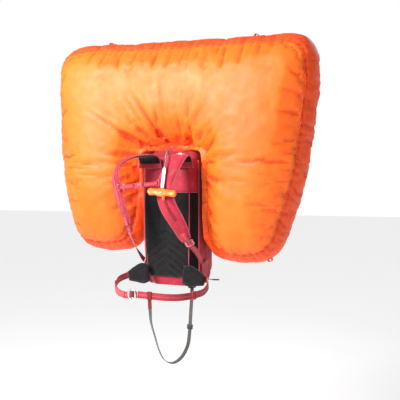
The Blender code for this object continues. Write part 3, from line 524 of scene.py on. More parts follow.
def flat_plate(name, outlines, thickness, place, material, rounding=0.0008):
    """A plate with rounded edges; the first outline is its edge, the others are holes."""
    curve = bpy.data.curves.new(name, "CURVE")
    curve.dimensions = "2D"
    curve.fill_mode = "BOTH"
    curve.extrude = thickness / 2 - rounding
    curve.bevel_depth = rounding
    curve.bevel_resolution = 2
    curve.offset = -rounding
    for outline in outlines:
        spline = curve.splines.new("POLY")
        spline.points.add(len(outline) - 1)
        for target, (x, y) in zip(spline.points, outline):
            target.co = (x, y, 0.0, 1.0)
        spline.use_cyclic_u = True
    item = bpy.data.objects.new(name, curve)
    SCENE.collection.objects.link(item)
    bpy.context.view_layer.update()
    mesh = bpy.data.meshes.new_from_object(item.evaluated_get(bpy.context.evaluated_depsgraph_get()))
    bpy.data.objects.remove(item, do_unlink=True)
    bm = bmesh.new()
    bm.from_mesh(mesh)
    bmesh.ops.remove_doubles(bm, verts=bm.verts, dist=0.00001)
    bmesh.ops.recalc_face_normals(bm, faces=bm.faces)
    bm.to_mesh(mesh)
    bm.free()
    mesh.transform(place)
    mesh.materials.clear()
    mesh.shade_smooth()
    mesh.set_sharp_from_angle(angle=math.radians(35))
    return put(name, mesh, material)


def rounded_rectangle(width, height, radius, corner_points=4, centre=(0.0, 0.0)):
    points = []
    for quarter in range(4):
        sign_x = 1 if quarter in (0, 3) else -1
        sign_y = 1 if quarter in (0, 1) else -1
        for step in range(corner_points + 1):
            angle = math.radians(90 * (quarter + step / corner_points))
            points.append((centre[0] + sign_x * (width / 2 - radius) + radius * math.cos(angle),
                           centre[1] + sign_y * (height / 2 - radius) + radius * math.sin(angle)))
    return points


def circle(radius, count=40, centre=(0.0, 0.0)):
    return [(centre[0] + radius * math.cos(2 * math.pi * i / count),
             centre[1] + radius * math.sin(2 * math.pi * i / count)) for i in range(count)]


def frame_at(centre, along, normal):
    """A matrix with its X along a direction and its Z nearest to a normal."""
    x = Vector(along).normalized()
    y = Vector(normal).cross(x).normalized()
    turn = Matrix((x, y, x.cross(y))).transposed().to_4x4()
    return Matrix.Translation(centre) @ turn


def triples(items, field):
    """A field of three numbers of each of a mesh's vertices or faces."""
    values = np.empty(len(items) * 3)
    items.foreach_get(field, values)
    return values.reshape(-1, 3)


def move_vertices(mesh, co):
    mesh.vertices.foreach_set("co", co.ravel())
    mesh.update()


def puff(item, pressure, cap, held, steps=20, grow=0.0, stiffness=15.0):
    """Inflate a closed fabric form with cloth; held says which vertices stay, cap how far the rest go."""
    start = triples(item.data.vertices, "co")
    group = item.vertex_groups.new(name="held")
    group.add([int(i) for i in np.nonzero(held)[0]], 1.0, "REPLACE")
    change = item.modifiers.new("cloth", "CLOTH")
    cloth = change.settings
    cloth.quality = 5
    cloth.mass = 0.2
    cloth.tension_stiffness = stiffness
    cloth.compression_stiffness = stiffness
    cloth.shear_stiffness = 5.0
    cloth.bending_stiffness = 0.3
    cloth.air_damping = 2.0
    cloth.use_pressure = True
    cloth.uniform_pressure_force = pressure
    cloth.shrink_min = -grow
    cloth.shrink_max = -grow
    cloth.vertex_group_mass = "held"
    cloth.effector_weights.gravity = 0.0
    change.collision_settings.use_collision = False
    change.point_cache.frame_start = 1
    change.point_cache.frame_end = steps
    for number in range(1, steps + 1):
        SCENE.frame_set(number)
    done = item.evaluated_get(bpy.context.evaluated_depsgraph_get())
    moved = triples(done.data.vertices, "co") - start
    reach = np.linalg.norm(moved, axis=1, keepdims=True)
    moved *= np.minimum(1.0, cap / np.maximum(reach, 1e-9))
    item.modifiers.remove(change)
    item.vertex_groups.clear()
    move_vertices(item.data, start + moved)
    SCENE.frame_set(1)


def subdivide(item):
    change = item.modifiers.new("smooth", "SUBSURF")
    change.levels = 1
    change.render_levels = 1


def double_wall(name, outer, inner, pitch, material):
    """An open-ended wall between two stacks of rings; pitch is the distance between a ring's points."""
    rings = np.array(outer + inner[::-1] + outer[:1])
    u = np.arange(rings.shape[1]) * pitch
    return loft(name, rings, u, ring_distances(rings), [material], caps=False)


# ------------------------------------------------------------------ airbag

BAG_MIDDLE, SEAM = 0.100, 0.066
BAG_EDGE, BAG_FIELD, BAG_LOBE = 0.082, 0.132, 0.1386     # half thickness of the cage
BAG_PLACE, BAG_TILT, BAG_PIVOT = (-0.008, BAG_MIDDLE, 0.270), math.radians(2.5), (0, 0, -0.270)
ROOM_SIZE, ROOM_PLACE = (0.260, 0.36, 0.60), (0, 0.045, -0.038)
# the cage's right half, by row from the top: x and z of its columns from the middle outwards
ACROSS = {0: (0.0, 0.160, 0.330, 0.480, 0.560), 1: (0.0, 0.150, 0.320, 0.450, 0.572),
          2: (0.0, 0.095, 0.290, 0.430, 0.545), 3: (None, 0.095, 0.270, 0.390, 0.500),
          4: (None, 0.140, 0.240, 0.350, 0.450)}
HEIGHTS = {0: (0.708, 0.708, 0.712, 0.715, 0.680), 1: (0.500,) * 5, 2: (0.235,) * 5,
           3: (0.050,) * 5, 4: (None, -0.125, -0.150, -0.155, -0.120)}
FOLDS = [  # from (x, z), to (x, z), depth, width
    ((-0.330, 0.425), (-0.105, 0.272), 0.0095, 0.0070), ((-0.150, 0.500), (-0.020, 0.275), 0.0110, 0.0075),
    ((0.104, 0.440), (0.070, 0.265), 0.0100, 0.0080), ((0.235, 0.335), (0.140, 0.262), 0.0090, 0.0080),
    ((-0.215, 0.470), (-0.160, 0.395), 0.0030, 0.0045), ((0.300, 0.250), (0.150, 0.220), 0.0060, 0.0080),
    ((0.010, 0.420), (0.018, 0.285), 0.0040, 0.0065), ((-0.330, 0.235), (-0.145, 0.205), 0.0040, 0.0060)]


def bag_form():
    """The pillow's smooth form: a U-shaped cage, subdivided, cut clear of the pack and remeshed."""
    edge = {(0, i) for i in range(5)} | {(row, 4) for row in range(5)} | {(4, i) for i in range(1, 5)}
    edge |= {(2, 0), (2, 1), (3, 1)}

    def rim(first, second):
        (row_a, column_a), (row_b, column_b) = sorted((first, second))
        if row_a == row_b:
            return row_a in (0, 4) or (row_a == 2 and column_a == 0)
        return column_a == 4 or (column_a == 1 and row_a >= 2)

    bm = bmesh.new()
    front, back = {}, {}
    for row in range(5):
        for column in range(5):
            if ACROSS[row][column] is None:
                continue
            half = BAG_EDGE if (row, column) in edge else BAG_FIELD
            if row in (1, 2, 3) and column == 2:
                half = BAG_LOBE
            x, z = ACROSS[row][column], HEIGHTS[row][column]
            front[row, column] = bm.verts.new((x, -half, z))
            back[row, column] = bm.verts.new((x, half, z))
    for row, column in [(r, c) for r in range(4) for c in range(4) if r < 2 or c > 0]:
        corners = [(row, column), (row + 1, column), (row + 1, column + 1), (row, column + 1)]
        bm.faces.new([front[c] for c in corners])
        bm.faces.new([back[c] for c in reversed(corners)])
        for first, second in zip(corners, corners[1:] + corners[:1]):
            if first in edge and second in edge and rim(first, second):
                if not {first, second} <= {(0, 0), (1, 0), (2, 0)}:
                    bm.faces.new((front[second], front[first], back[first], back[second]))
    bmesh.ops.recalc_face_normals(bm, faces=bm.faces)
    mesh = bpy.data.meshes.new("airbag_skin")
    bm.to_mesh(mesh)
    bm.free()
    item = put("airbag_skin", mesh)
    mirror = item.modifiers.new("mirror", "MIRROR")
    mirror.merge_threshold = 0.0001
    rounded = item.modifiers.new("round", "SUBSURF")
    rounded.levels = 5
    item.matrix_world = (Matrix.Translation(BAG_PLACE) @ Matrix.Rotation(BAG_TILT, 4, "Y")
                         @ Matrix.Translation(BAG_PIVOT))
    room = bmesh.new()
    bmesh.ops.create_cube(room, size=1.0)
    bmesh.ops.scale(room, vec=ROOM_SIZE, verts=room.verts)
    bmesh.ops.translate(room, vec=ROOM_PLACE, verts=room.verts)
    tool_mesh = bpy.data.meshes.new("room")
    room.to_mesh(tool_mesh)
    room.free()
    tool = put("room", tool_mesh)
    cut = item.modifiers.new("cut", "BOOLEAN")
    cut.operation, cut.solver, cut.object = "DIFFERENCE", "EXACT", tool
    grid = item.modifiers.new("remesh", "REMESH")
    grid.mode, grid.voxel_size = "VOXEL", 0.0085
    bpy.context.view_layer.update()
    done = bpy.data.meshes.new_from_object(item.evaluated_get(bpy.context.evaluated_depsgraph_get()))
    done.transform(item.matrix_world)
    item.modifiers.clear()
    item.matrix_world = Matrix.Identity(4)
    item.data = done
    bpy.data.objects.remove(tool, do_unlink=True)
    bm = bmesh.new()
    bm.from_mesh(done)
    for _ in range(5):
        bmesh.ops.smooth_vert(bm, verts=bm.verts, factor=0.5, use_axis_x=True, use_axis_y=True,
                              use_axis_z=True)
    bm.to_mesh(done)
    bm.free()
    return item


def section(bm, y):
    """Cut a mesh at a plane across Y, and give the neighbours of each vertex on the cut."""
    cut = bmesh.ops.bisect_plane(bm, geom=bm.verts[:] + bm.edges[:] + bm.faces[:], dist=0.00001,
                                 plane_co=(0, y, 0), plane_no=(0, 1, 0))["geom_cut"]
    links = {}
    for edge in (g for g in cut if isinstance(g, bmesh.types.BMEdge)):
        a, b = edge.verts
        links.setdefault(a, []).append(b)
        links.setdefault(b, []).append(a)
    return links


def walk(first, links, seen):
    """The vertices met by going along a cut from one of them."""
    line = [first]
    seen.add(first)
    while True:
        onward = [n for n in links[line[-1]] if n not in seen]
        if not onward:
            return line
        seen.add(onward[0])
        line.append(onward[0])


def middle_loop(mesh):
    """The closed line where the pillow meets its middle plane, in order."""
    bm = bmesh.new()
    bm.from_mesh(mesh)
    links = section(bm, BAG_MIDDLE)
    best, seen = [], set()
    for first in links:
        if first not in seen:
            line = walk(first, links, seen)
            if len(line) > len(best):
                best = line
    points = np.array([tuple(v.co) for v in best])
    bm.free()
    for _ in range(6):
        points = (np.roll(points, 1, 0) + 2 * points + np.roll(points, -1, 0)) / 4
    return points


def loop_tree(loop):
    tree = KDTree(len(loop))
    for index, point in enumerate(loop):
        tree.insert(point, index)
    tree.balance()
    return tree


def fbm(x, y, z, octaves=3):
    """Noise with finer noise added to it."""
    total, size = 0.0, 1.0
    for _ in range(octaves):
        total += size * grain(x, y, z)
        x, y, z, size = x * 2.03 + 5.1, y * 2.03 + 1.7, z * 2.03, size * 0.5
    return total


def fold_relief(x, z):
    """The long folds that the pack's pull makes in the front: a valley between two soft banks."""
    height = 0.0
    for (x0, z0), (x1, z1), depth, width in FOLDS:
        dx, dz = x1 - x0, z1 - z0
        length = math.hypot(dx, dz)
        t = ((x - x0) * dx + (z - z0) * dz) / (length * length)
        if -0.15 < t < 1.25:
            bend = 0.008 * math.sin(3.0 * t)
            off = ((x - x0) * dz - (z - z0) * dx) / length + bend
            grow = clamp(t + 0.12) ** 0.8
            line = width * (0.7 + 0.9 * max(t, 0.0))
            height -= depth * grow * bell(off, line)
            height += 0.45 * depth * grow * bell(abs(off) - 2.3 * line, 1.5 * line)
    return height


def seam_relief(s, gap, fade):
    """Puckers along the seams, at a distance s round the bag and a gap from the nearest seam."""
    wave = math.sin(2 * math.pi * (s / 0.034 + 1.3 * grain(s * 6.0, 1.0, 0.0)))
    wave += 0.6 * grain(s * 55.0, gap * 6.0, 4.0)
    height = fade * 0.0023 * wave * math.exp(-gap / 0.024)
    height -= 0.0034 * bell(gap, 0.0052)
    return height + fade * 0.0060 * grain(s * 14.0, gap * 2.0, 9.0) * math.exp(-gap / 0.070)


def bag_relief(co, normals, loop):
    """Heights for folds round the pack's shoulders, puckers at the seams and soft wrinkles."""
    tree = loop_tree(loop)
    steps = np.linalg.norm(np.diff(loop, axis=0, append=loop[:1]), axis=1)
    place = np.concatenate([[0.0], np.cumsum(steps)[:-1]])
    height = np.zeros(len(co))
    for i, (x, y, z) in enumerate(co):
        _, near, inner = tree.find(Vector((x, BAG_MIDDLE, z)))
        gap = abs(abs(y - BAG_MIDDLE) - SEAM) if inner < 0.16 else 0.3
        notch = bell(max(0.0, max(abs(x) - 0.140, z - 0.275)), 0.045)
        if inner < 0.13:
            height[i] += seam_relief(place[near], gap, 0.35 if abs(x) < 0.20 and z < 0.34 else 1.0)
        angle, reach = math.atan2(z - 0.235, x), math.hypot(x, z - 0.235)
        if y < 0.10:
            rays = 0.0060 * grain(angle * 9.0, reach * 1.6, 2.0)
            height[i] += bell(reach - 0.19, 0.12) * (rays + 0.0018 * grain(angle * 34.0, reach * 3.0, 6.0))
            near_pack = math.hypot(max(abs(x) - 0.125, 0.0), max(z - 0.262, 0.0))
            height[i] -= 0.027 * bell(near_pack, 0.090) * clamp((0.10 - y) / 0.08)
        else:
            height[i] += bell(reach - 0.22, 0.14) * 0.0060 * grain(angle * 8.0, reach * 1.6, 12.0)
        height[i] += 0.0042 * fbm(x * 4.0, y * 3.0, z * 4.0)
        height[i] += 0.0009 * fbm(x * 26.0 + 3.0, y * 20.0, z * 26.0, 2) * (1.0 - 0.5 * notch)
        if normals[i][1] < -0.15:
            height[i] += fold_relief(x, z)
    return height


def plane_uv(mesh, function):
    """UV in metres from each corner's place and its face's normal."""
    layer = mesh.uv_layers.get("UVMap") or mesh.uv_layers.new(name="UVMap")
    co = triples(mesh.vertices, "co")
    uvs = np.zeros((len(mesh.loops), 2), np.float32)
    for face in mesh.polygons:
        for loop in face.loop_indices:
            uvs[loop] = function(co[mesh.loops[loop].vertex_index], face.normal)
    layer.data.foreach_set("uv", uvs.ravel())


def box_uv(point, normal):
    """The two coordinates in which a face is seen flattest."""
    x, y, z = (abs(n) for n in normal)
    if y >= x and y >= z:
        return point[0], point[2]
    if x >= z:
        return point[1], point[2]
    return point[0], point[1]


def airbag():
    """The pillow: inflated, creased, with its seams and loops; the gusset takes a darker copy of the orange,
    painted shade on the bag's edges.
    """
    item = bag_form()
    mesh = item.data
    loop = middle_loop(mesh)
    co = triples(mesh.vertices, "co")
    on_seam = np.abs(np.abs(co[:, 1] - BAG_MIDDLE) - SEAM) < 0.006
    on_pack = (np.abs(co[:, 0]) < 0.150) & (co[:, 2] < 0.280)
    puff(item, 3.0, 0.012, on_seam | on_pack, grow=0.035)
    co, normals = triples(mesh.vertices, "co"), triples(mesh.vertices, "normal")
    relief = bag_relief(co, normals, loop)
    relief[(np.abs(co[:, 0]) < 0.134) & (co[:, 2] < 0.266)] *= 0.2
    move_vertices(mesh, co + normals * np.clip(relief - 0.002, -0.048, 0.010)[:, None])
    mesh.shade_smooth()
    mesh.materials.clear()
    mesh.materials.append(ORANGE)
    mesh.materials.append(SHADED_ORANGE)
    centres = triples(mesh.polygons, "center")
    tree = loop_tree(loop)
    inner = np.array([tree.find(Vector((c[0], BAG_MIDDLE, c[2])))[2] for c in centres])
    # The gusset faces take the darker orange, which paints shade on the bag's edges.
    gusset = (np.abs(centres[:, 1] - BAG_MIDDLE) < SEAM) & (inner < 0.13)
    mesh.polygons.foreach_set("material_index", gusset.astype(int))
    plane_uv(mesh, box_uv)
    attach(item, "pack", "orange_nylon", "airbag")
    seams(mesh)
    loops(loop)


def seams(mesh):
    """Two felled seams with stitching, where the front and back panels meet the gusset."""
    for side, y in (("front", BAG_MIDDLE - SEAM), ("back", BAG_MIDDLE + SEAM)):
        bm = bmesh.new()
        bm.from_mesh(mesh)
        links = section(bm, y)
        line = walk(max(links, key=lambda v: v.co.z), links, set())
        points = np.array([tuple(v.co) for v in line])
        normals = np.array([tuple(v.normal) for v in line])
        bm.free()
        clear = ~((np.abs(points[:, 0]) < 0.200) & (points[:, 2] < 0.370))
        turn = int(np.argmax(~clear))
        points, normals, clear = (np.roll(values, -turn, 0) for values in (points, normals, clear))
        jump = np.linalg.norm(np.diff(points, axis=0, prepend=points[:1]), axis=1) > 0.03
        run = np.cumsum(~clear | jump)
        pick = clear & (run == np.bincount(run[clear]).argmax())
        points, normals = points[pick], unit(normals[pick] + 1e-9)
        for _ in range(3):
            points[1:-1] = (points[:-2] + 2 * points[1:-1] + points[2:]) / 4
        cord = tube(f"airbag_seam_{side}", points + normals * 0.0006, 0.0021, SHADED_ORANGE, 8)
        attach(cord, "pack", "orange_nylon")
        for row, shift in enumerate(((-0.0055, 0.0055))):
            line = points + normals * 0.0012
            line[:, 1] += shift
            sewn = stitches(f"airbag_stitch_{side}_{row}", line, normals, ORANGE_THREAD, 0.0052, 0.0034,
                            0.0006)
            attach(sewn, "pack", "orange_nylon")


def loops(loop):
    """Folded webbing loops on the perimeter, to tie the bag back when it is repacked."""
    centre = loop.mean(axis=0)
    wanted = (("upper", (0.3309, 0.6790), ["airbag_loop_upper"]), ("corner", (-0.3282, 0.7076), []),
              ("outer", (0.5308, 0.1642), ["airbag_loop_outer"]), ("lower", (0.3921, -0.1486), []))
    path = [(-0.0085, 0.0, 0.6), (-0.0080, 0.007, 0.5), (-0.0055, 0.0125, 0.2), (0.0, 0.0145, 0.0),
            (0.0055, 0.0125, -0.2), (0.0080, 0.007, -0.5), (0.0085, 0.0, -0.6)]
    for name, (x, z), nodes in wanted:
        index = int(np.argmin((loop[:, 0] - x) ** 2 + (loop[:, 2] - z) ** 2))
        ahead = unit(loop[(index + 3) % len(loop)] - loop[index - 3])
        out = np.array([-ahead[2], 0.0, ahead[0]])
        if np.dot(out, loop[index] - centre) < 0:
            out = -out
        base = loop[index] - out * 0.004
        knots = []
        for along, rise, lean in path:
            point = base + ahead * along + out * rise
            normal = out * (1 - abs(lean)) - ahead * lean
            knots.append((*point, *normal, 0.0150))
        attach(band(f"airbag_tab_{name}", knots, 0.0015, SHADED_ORANGE, 0.002), "pack", "orange_nylon", *nodes)


airbag()


# ------------------------------------------------------------------ pack

STRAP_HEIGHT = 0.083
STRIP_X, STRIP_Y, PANEL_X = 0.119, 0.030, 0.097
PANEL_LOW, PANEL_SEAM, PANEL_HIGH = -0.218, 0.1075, 0.243
GAP = 0.0004
FRONT, UP = (0.0, -1.0, 0.0), (0, 0, 1)


def lumbar(z):
    """From 0 at the middle of the back to 1 at its lower end."""
    return clamp((-0.060 - z) / 0.190)


def shoulder_taper(z):
    """How much each side of the panel narrows above the shoulder straps."""
    return 0.012 * max(0.0, (z - 0.195) / 0.048) ** 1.4


def panel_row(z, narrow=0.0):
    """The (x, y) of the centre field's edge and of the side strip's edge, at a height."""
    back = 0.020 * lumbar(z) ** 1.3
    inward = 0.013 * lumbar(z) + narrow
    return (PANEL_X - inward, back), (STRIP_X - inward * 0.5, STRIP_Y + back)


def panel(name, heights, material, relief, slot_name, node, narrow=None, thick=0.0098):
    """A padded panel on the wearer's side: a centre field and two side strips that turn back."""
    spread = [-1.0, -0.97, -0.93, -0.89, -0.85, -0.82, -0.80, -0.785, -0.77, -0.74, -0.70]
    spread += [-0.66 + 0.06 * i for i in range(23)]
    spread += [-a for a in reversed(spread[:11])]
    rings = []
    for z in heights:
        squeeze = narrow(z) if narrow else 0.0
        (px, py), (sx, sy) = panel_row(z, squeeze)
        front, rear = [], []
        for a in spread:
            sign = 1.0 if a >= 0 else -1.0
            k = abs(a)
            if k <= 0.8:
                point, normal = Vector((a / 0.8 * px, py, z)), Vector((0, -1, 0))
            else:
                t = (k - 0.8) / 0.2
                point = Vector((sign * (px + (sx - px) * t), py + (sy - py) * t, z))
                normal = Vector((sign * (sy - py), -(sx - px), 0)).normalized()
            lift = relief(a, z)
            front.append(point + normal * lift)
            rear.append(Vector((point.x * 0.985, point.y + thick * (0.75 if k > 0.8 else 1.0), z)))
        rings.append([tuple(p) for p in front + list(reversed(rear))])
    rings = np.array(rings)
    across = [a * 0.125 for a in spread]
    u = np.array(across + list(reversed(across)))
    attach(loft(name, rings, u, heights, [material]), "pack", slot_name, node)


def edge_roll(a, z, low, high):
    """Panels thin out towards their sewn edges."""
    end = min(z - low, high - z, (1.0 - abs(a)) * 0.125)
    return -0.0045 * math.exp(-max(0.0, end) / 0.0045)


def back_relief(a, z):
    """The mesh panel's crown, its chevron channels, its upper channels and its side creases."""
    lift = -0.0007 + edge_roll(a, z, PANEL_LOW, PANEL_SEAM - GAP)
    x = abs(a) / 0.8 * PANEL_X
    if abs(a) < 0.8:
        lift += 0.0022 * (1 - (abs(a) / 0.8) ** 4) * min(1.0, (z - PANEL_LOW) / 0.03)
        for level in range(7):
            peak = -0.036 - 0.030 * level
            line = peak - 0.62 * x
            lift -= 0.0034 * bell(z - line, 0.0034)
        lift -= 0.0034 * bell(x - 0.028, 0.0032) * (1.0 if z > -0.040 else 0.0)
    lift -= 0.0040 * bell(abs(a) - 0.80, 0.012)
    return lift + 0.0006 * grain(a * 6, z * 40, 1.0)


def top_relief(a, z):
    """The upper panel's slack cloth, its side creases and its seam below the shoulder straps."""
    lift = 0.0008 + edge_roll(a, z, PANEL_SEAM, PANEL_HIGH)
    lift += 0.0016 * grain(a * 3.0, z * 22.0, 5.0)
    lift += 0.0012 * grain(a * 11.0 + z * 40, z * 8.0, 8.0)
    lift -= 0.0030 * bell(abs(a) - 0.80, 0.010)
    lift -= 0.0022 * bell(z - 0.196, 0.0030) * (1.0 if abs(a) < 0.78 else 0.0)
    return lift


def back_panels():
    """Both panels with their piping, the piping of the pack's side edges, and the rows of stitches."""
    heights = np.concatenate([np.linspace(PANEL_LOW, -0.212, 4),
                              np.arange(-0.209, PANEL_SEAM - 0.007, 0.0030),
                              np.linspace(PANEL_SEAM - 0.006, PANEL_SEAM - GAP, 4)])
    panel("back_cover", heights, MESH, back_relief, "black_mesh", "back_panel")
    heights = np.concatenate([np.linspace(PANEL_SEAM + GAP, PANEL_SEAM + 0.006, 4),
                              np.arange(PANEL_SEAM + 0.009, 0.237, 0.0035),
                              np.linspace(0.2385, PANEL_HIGH, 3)])
    panel("top_cover", heights, CRIMSON_LIGHT, top_relief, "crimson_nylon", "back_panel_top", shoulder_taper)
    for side, sign in SIDES:
        crease, outer = [], []
        for z in np.arange(-0.213, PANEL_SEAM, 0.006):
            (px, py), _ = panel_row(z)
            crease.append((sign * (px + 0.0014), py - 0.0008, z))
        for z in np.arange(-0.238, 0.236, 0.006):
            _, (sx, sy) = panel_row(z, shoulder_taper(z))
            wave = 0.0007 * grain(z * 30, sign, 0)
            outer.append((sign * (sx + 0.0030 + wave), sy + 0.0030, z))
        attach(tube(f"panel_bead_{side}", crease, 0.0017, PIPING, 8), "pack", "pink_piping",
               f"panel_piping_{side}")
        attach(tube(f"side_bead_{side}", outer, 0.0022, PIPING, 8), "pack", "pink_piping")
        line = np.array(crease)
        sewn = stitches(f"panel_stitch_{side}", line - np.array([sign * 0.0062, 0.0004, 0]),
                        [FRONT] * len(line), BLACK_THREAD)
        attach(sewn, "pack", "black_mesh")
    seam = [(x, -0.0012 if abs(x) < 0.093 else -0.0012 + (abs(x) - 0.093) * 1.15, PANEL_SEAM + 0.0012)
            for x in np.linspace(-0.117, 0.117, 60)]
    attach(tube("top_seam_bead", seam, 0.0017, PIPING, 8), "pack", "pink_piping")
    line = [(x, -0.0012, PANEL_SEAM + 0.0065) for x in np.linspace(-0.088, 0.088, 40)]
    attach(stitches("top_seam_stitch", line, [FRONT] * len(line), RED_THREAD), "pack", "crimson_nylon")


def body_outline(z, depth, shrink):
    """The pack's outline at a height: behind the panels, round the sides and across the rear wall."""
    (ix, iy), (ox, oy) = panel_row(z)
    front = iy + 0.0116
    side = 0.1215 - shrink
    half = [(0.0, front), (ix - 0.0068 - shrink, front), (ox - 0.0086 - shrink * 0.55, oy + 0.0080),
            (side, oy + 0.0045), (side + 0.001, 0.085), (side - 0.002, depth - 0.045),
            (side - 0.014, depth - 0.015), (side - 0.040, depth), (0.0, depth)]
    return half + [(-x, y) for x, y in reversed(half[1:-1])]


BODY_ROWS = [  # height, depth, how much the sides draw in
    (-0.250, 0.140, 0.012), (-0.238, 0.158, 0.003), (-0.205, 0.170, 0.0), (-0.17, 0.178, 0.0),
    (0.195, 0.178, 0.0), (0.239, 0.166, 0.012)]


def resample(points, count):
    """A closed outline as a given number of evenly spaced points."""
    points = np.array(points + [points[0]], float)
    along = distances(points)
    where = np.linspace(0, along[-1], count, endpoint=False)
    return np.stack([np.interp(where, along, points[:, k]) for k in range(2)], 1)


def body_relief(line, z):
    """Slack folds, sewn seams and the pull of the side straps, for one ring of the pack's cloth."""
    lift = np.zeros(len(line))
    for i, (x, y) in enumerate(line):
        if y < 0.056:
            continue
        free = min(1.0, (y - 0.056) / 0.03)
        puffed = 0.0045 * math.sin(math.pi * clamp((z + 0.25) / 0.49)) ** 0.7
        fold = 0.0042 * fbm(x * 9.0 + 2, y * 9.0, z * 6.0)
        slack = 0.0028 * grain(x * 5, y * 30, z * 34.0 + x * 30)
        lift[i] = free * (puffed + fold + slack)
        lift[i] -= free * 0.0030 * bell(z + 0.196 + 0.10 * (y - 0.1), 0.0030)
        lift[i] -= 0.0026 * bell(y - 0.150, 0.0030) * (abs(x) > 0.09)
        if abs(x) > 0.1 and 0.055 < z < 0.110:
            lift[i] -= 0.0030 * bell(z - STRAP_HEIGHT, 0.012)
    strap_side = (np.abs(line[:, 0]) > 0.1) & (np.abs(z - STRAP_HEIGHT) < 0.016) & (line[:, 1] > 0.045)
    flat = strap_side | (line[:, 1] > 0.174)
    lift[flat] = np.minimum(lift[flat], 0.0004)
    return lift


def pack_cover():
    """The pack's cloth body, open at the torn-back top, with seams, panels and slack folds."""
    levels, depths, shrinks = (np.array(c) for c in zip(*BODY_ROWS))
    heights = np.concatenate([np.linspace(-0.250, -0.236, 7), np.arange(-0.231, 0.232, 0.0045),
                              np.linspace(0.234, 0.2405, 4)])
    count = 176
    outer, inner = [], []
    for z in heights:
        depth, shrink = np.interp(z, levels, depths), np.interp(z, levels, shrinks)
        line = resample(body_outline(z, depth, shrink), count)
        for _ in range(3):
            line = (np.roll(line, 1, 0) + 2 * line + np.roll(line, -1, 0)) / 4
        ahead = unit(np.roll(line, -1, 0) - np.roll(line, 1, 0))
        normal = np.stack([ahead[:, 1], -ahead[:, 0]], 1)
        if np.mean(np.einsum("ij,ij->i", normal, line - line.mean(0))) < 0:
            normal = -normal
        outer.append([(x, y, z) for x, y in line + normal * body_relief(line, z)[:, None]])
        inner.append([(x, y, z) for x, y in line - normal * 0.0018])
    floor = np.array(outer[0])
    centre = floor.mean(axis=0)
    lip = (np.array(outer[-1]) + np.array(inner[-1])) / 2 + np.array([0, 0, 0.0016])
    above = np.array([0, 0, 0.004])
    rings = [centre + (floor - centre) * 0.02, centre + (floor - centre) * 0.5, *outer, lip, *inner[:0:-1],
             centre + (np.array(inner[1]) - centre) * 0.5 + above, centre + (floor - centre) * 0.02 + above]
    rings = np.array(rings)
    u = distances(np.array(outer[60]))
    item = loft("pack_cover", rings, u, ring_distances(rings), [CRIMSON, LINING])
    inside = 2 + len(outer)
    for face in item.data.polygons:
        if face.index < (len(rings) - 1) * count and face.index // count >= inside:
            face.material_index = 1
    attach(item, "pack", "crimson_nylon", "pack_body")
    rim = np.array(outer[-1])
    rim = np.vstack([rim, rim[:1]]) + np.array([0, 0, 0.0004])
    attach(tube("pack_mouth_hem", rim, 0.0020, BLACK_WEB, 8, caps=False), "pack", "black_webbing")
    for side, sign in SIDES:
        line, normals = [], []
        for ring in outer[8:-4]:
            ring = np.array(ring)
            pick = ring[ring[:, 0] * sign > 0.09]
            near = pick[np.argmin(np.abs(pick[:, 1] - 0.146))]
            line.append(near + np.array([sign * 0.0003, 0, 0]))
            normals.append((sign, 0.2, 0))
        attach(stitches(f"side_stitch_{side}", line, normals, RED_THREAD), "pack", "crimson_nylon")


def zip_parts():
    """The arched zip of the rear wall: tape, teeth, slider and pull."""
    leg_x, foot, crown, corner, y = 0.066, -0.050, 0.180, 0.045, 0.1784
    arch = [(leg_x, z) for z in np.linspace(foot, crown - corner, 30)]
    for step in range(1, 13):
        angle = math.radians(90 * step / 12)
        arch.append((leg_x - corner + corner * math.cos(angle), crown - corner + corner * math.sin(angle)))
    arch += [(x, crown) for x in np.linspace(leg_x - corner, 0, 8)[1:]]
    arch += [(-x, z) for x, z in reversed(arch[:-1])]
    last = [arch[-1]] if len(arch) % 3 != 1 else []
    knots = [(x, y + 0.0010, z, 0, 1, 0, 0.0215) for x, z in arch[::3] + last]
    tape = band("zip_tape_cloth", knots, 0.0010, BLACK_WEB, 0.004, 0.0001)
    attach(tape, "pack", "black_webbing", "zip_tape")
    points = np.array([(x, y + 0.0018, z) for x, z in arch])
    along = distances(points)
    bm = bmesh.new()
    for index, s in enumerate(np.arange(0.001, along[-1], 0.0024)):
        here = Vector(at(s, along, points))
        there = Vector(at(s + 0.0005, along, points))
        ahead = (there - here).normalized() if (there - here).length else Vector((0, 0, 1))
        side = ahead.cross(Vector((0, 1, 0))).normalized() * (0.0009 if index % 2 else -0.0009)
        made = bmesh.ops.create_cube(bm, size=1.0)["verts"]
        turn = frame_at(here + side, ahead, (0, 1, 0)) @ Matrix.Diagonal((0.0013, 0.0036, 0.0014, 1.0))
        bmesh.ops.transform(bm, matrix=turn, verts=made)
    mesh = bpy.data.meshes.new("zip_teeth")
    bm.to_mesh(mesh)
    bm.free()
    attach(put("zip_teeth", mesh, PLASTIC), "pack", "black_plastic")
    place = frame_at((leg_x, y + 0.0040, 0.095), (0, 0, -1), (0, 1, 0))
    outline = [(-0.0065, -0.0046), (-0.0040, -0.0050), (0.0040, -0.0036), (0.0065, -0.0030), (0.0065, 0.0030),
               (0.0040, 0.0036), (-0.0040, 0.0050), (-0.0065, 0.0046)]
    body = flat_plate("zip_slider_body", [outline], 0.0032, place, STEEL, 0.0006)
    attach(body, "zip", "black_plastic", "zip_slider")
    knots = [(leg_x, y + lift, z, 0, 1, 0, width) for lift, z, width in
             ((0.0066, 0.097, 0.0042), (0.0072, 0.090, 0.0055), (0.0068, 0.078, 0.0060),
              (0.0066, 0.0685, 0.0052))]
    attach(band("zip_pull_tab", knots, 0.0018, PIPING, 0.0015), "zip", "pink_piping", "zip_pull")


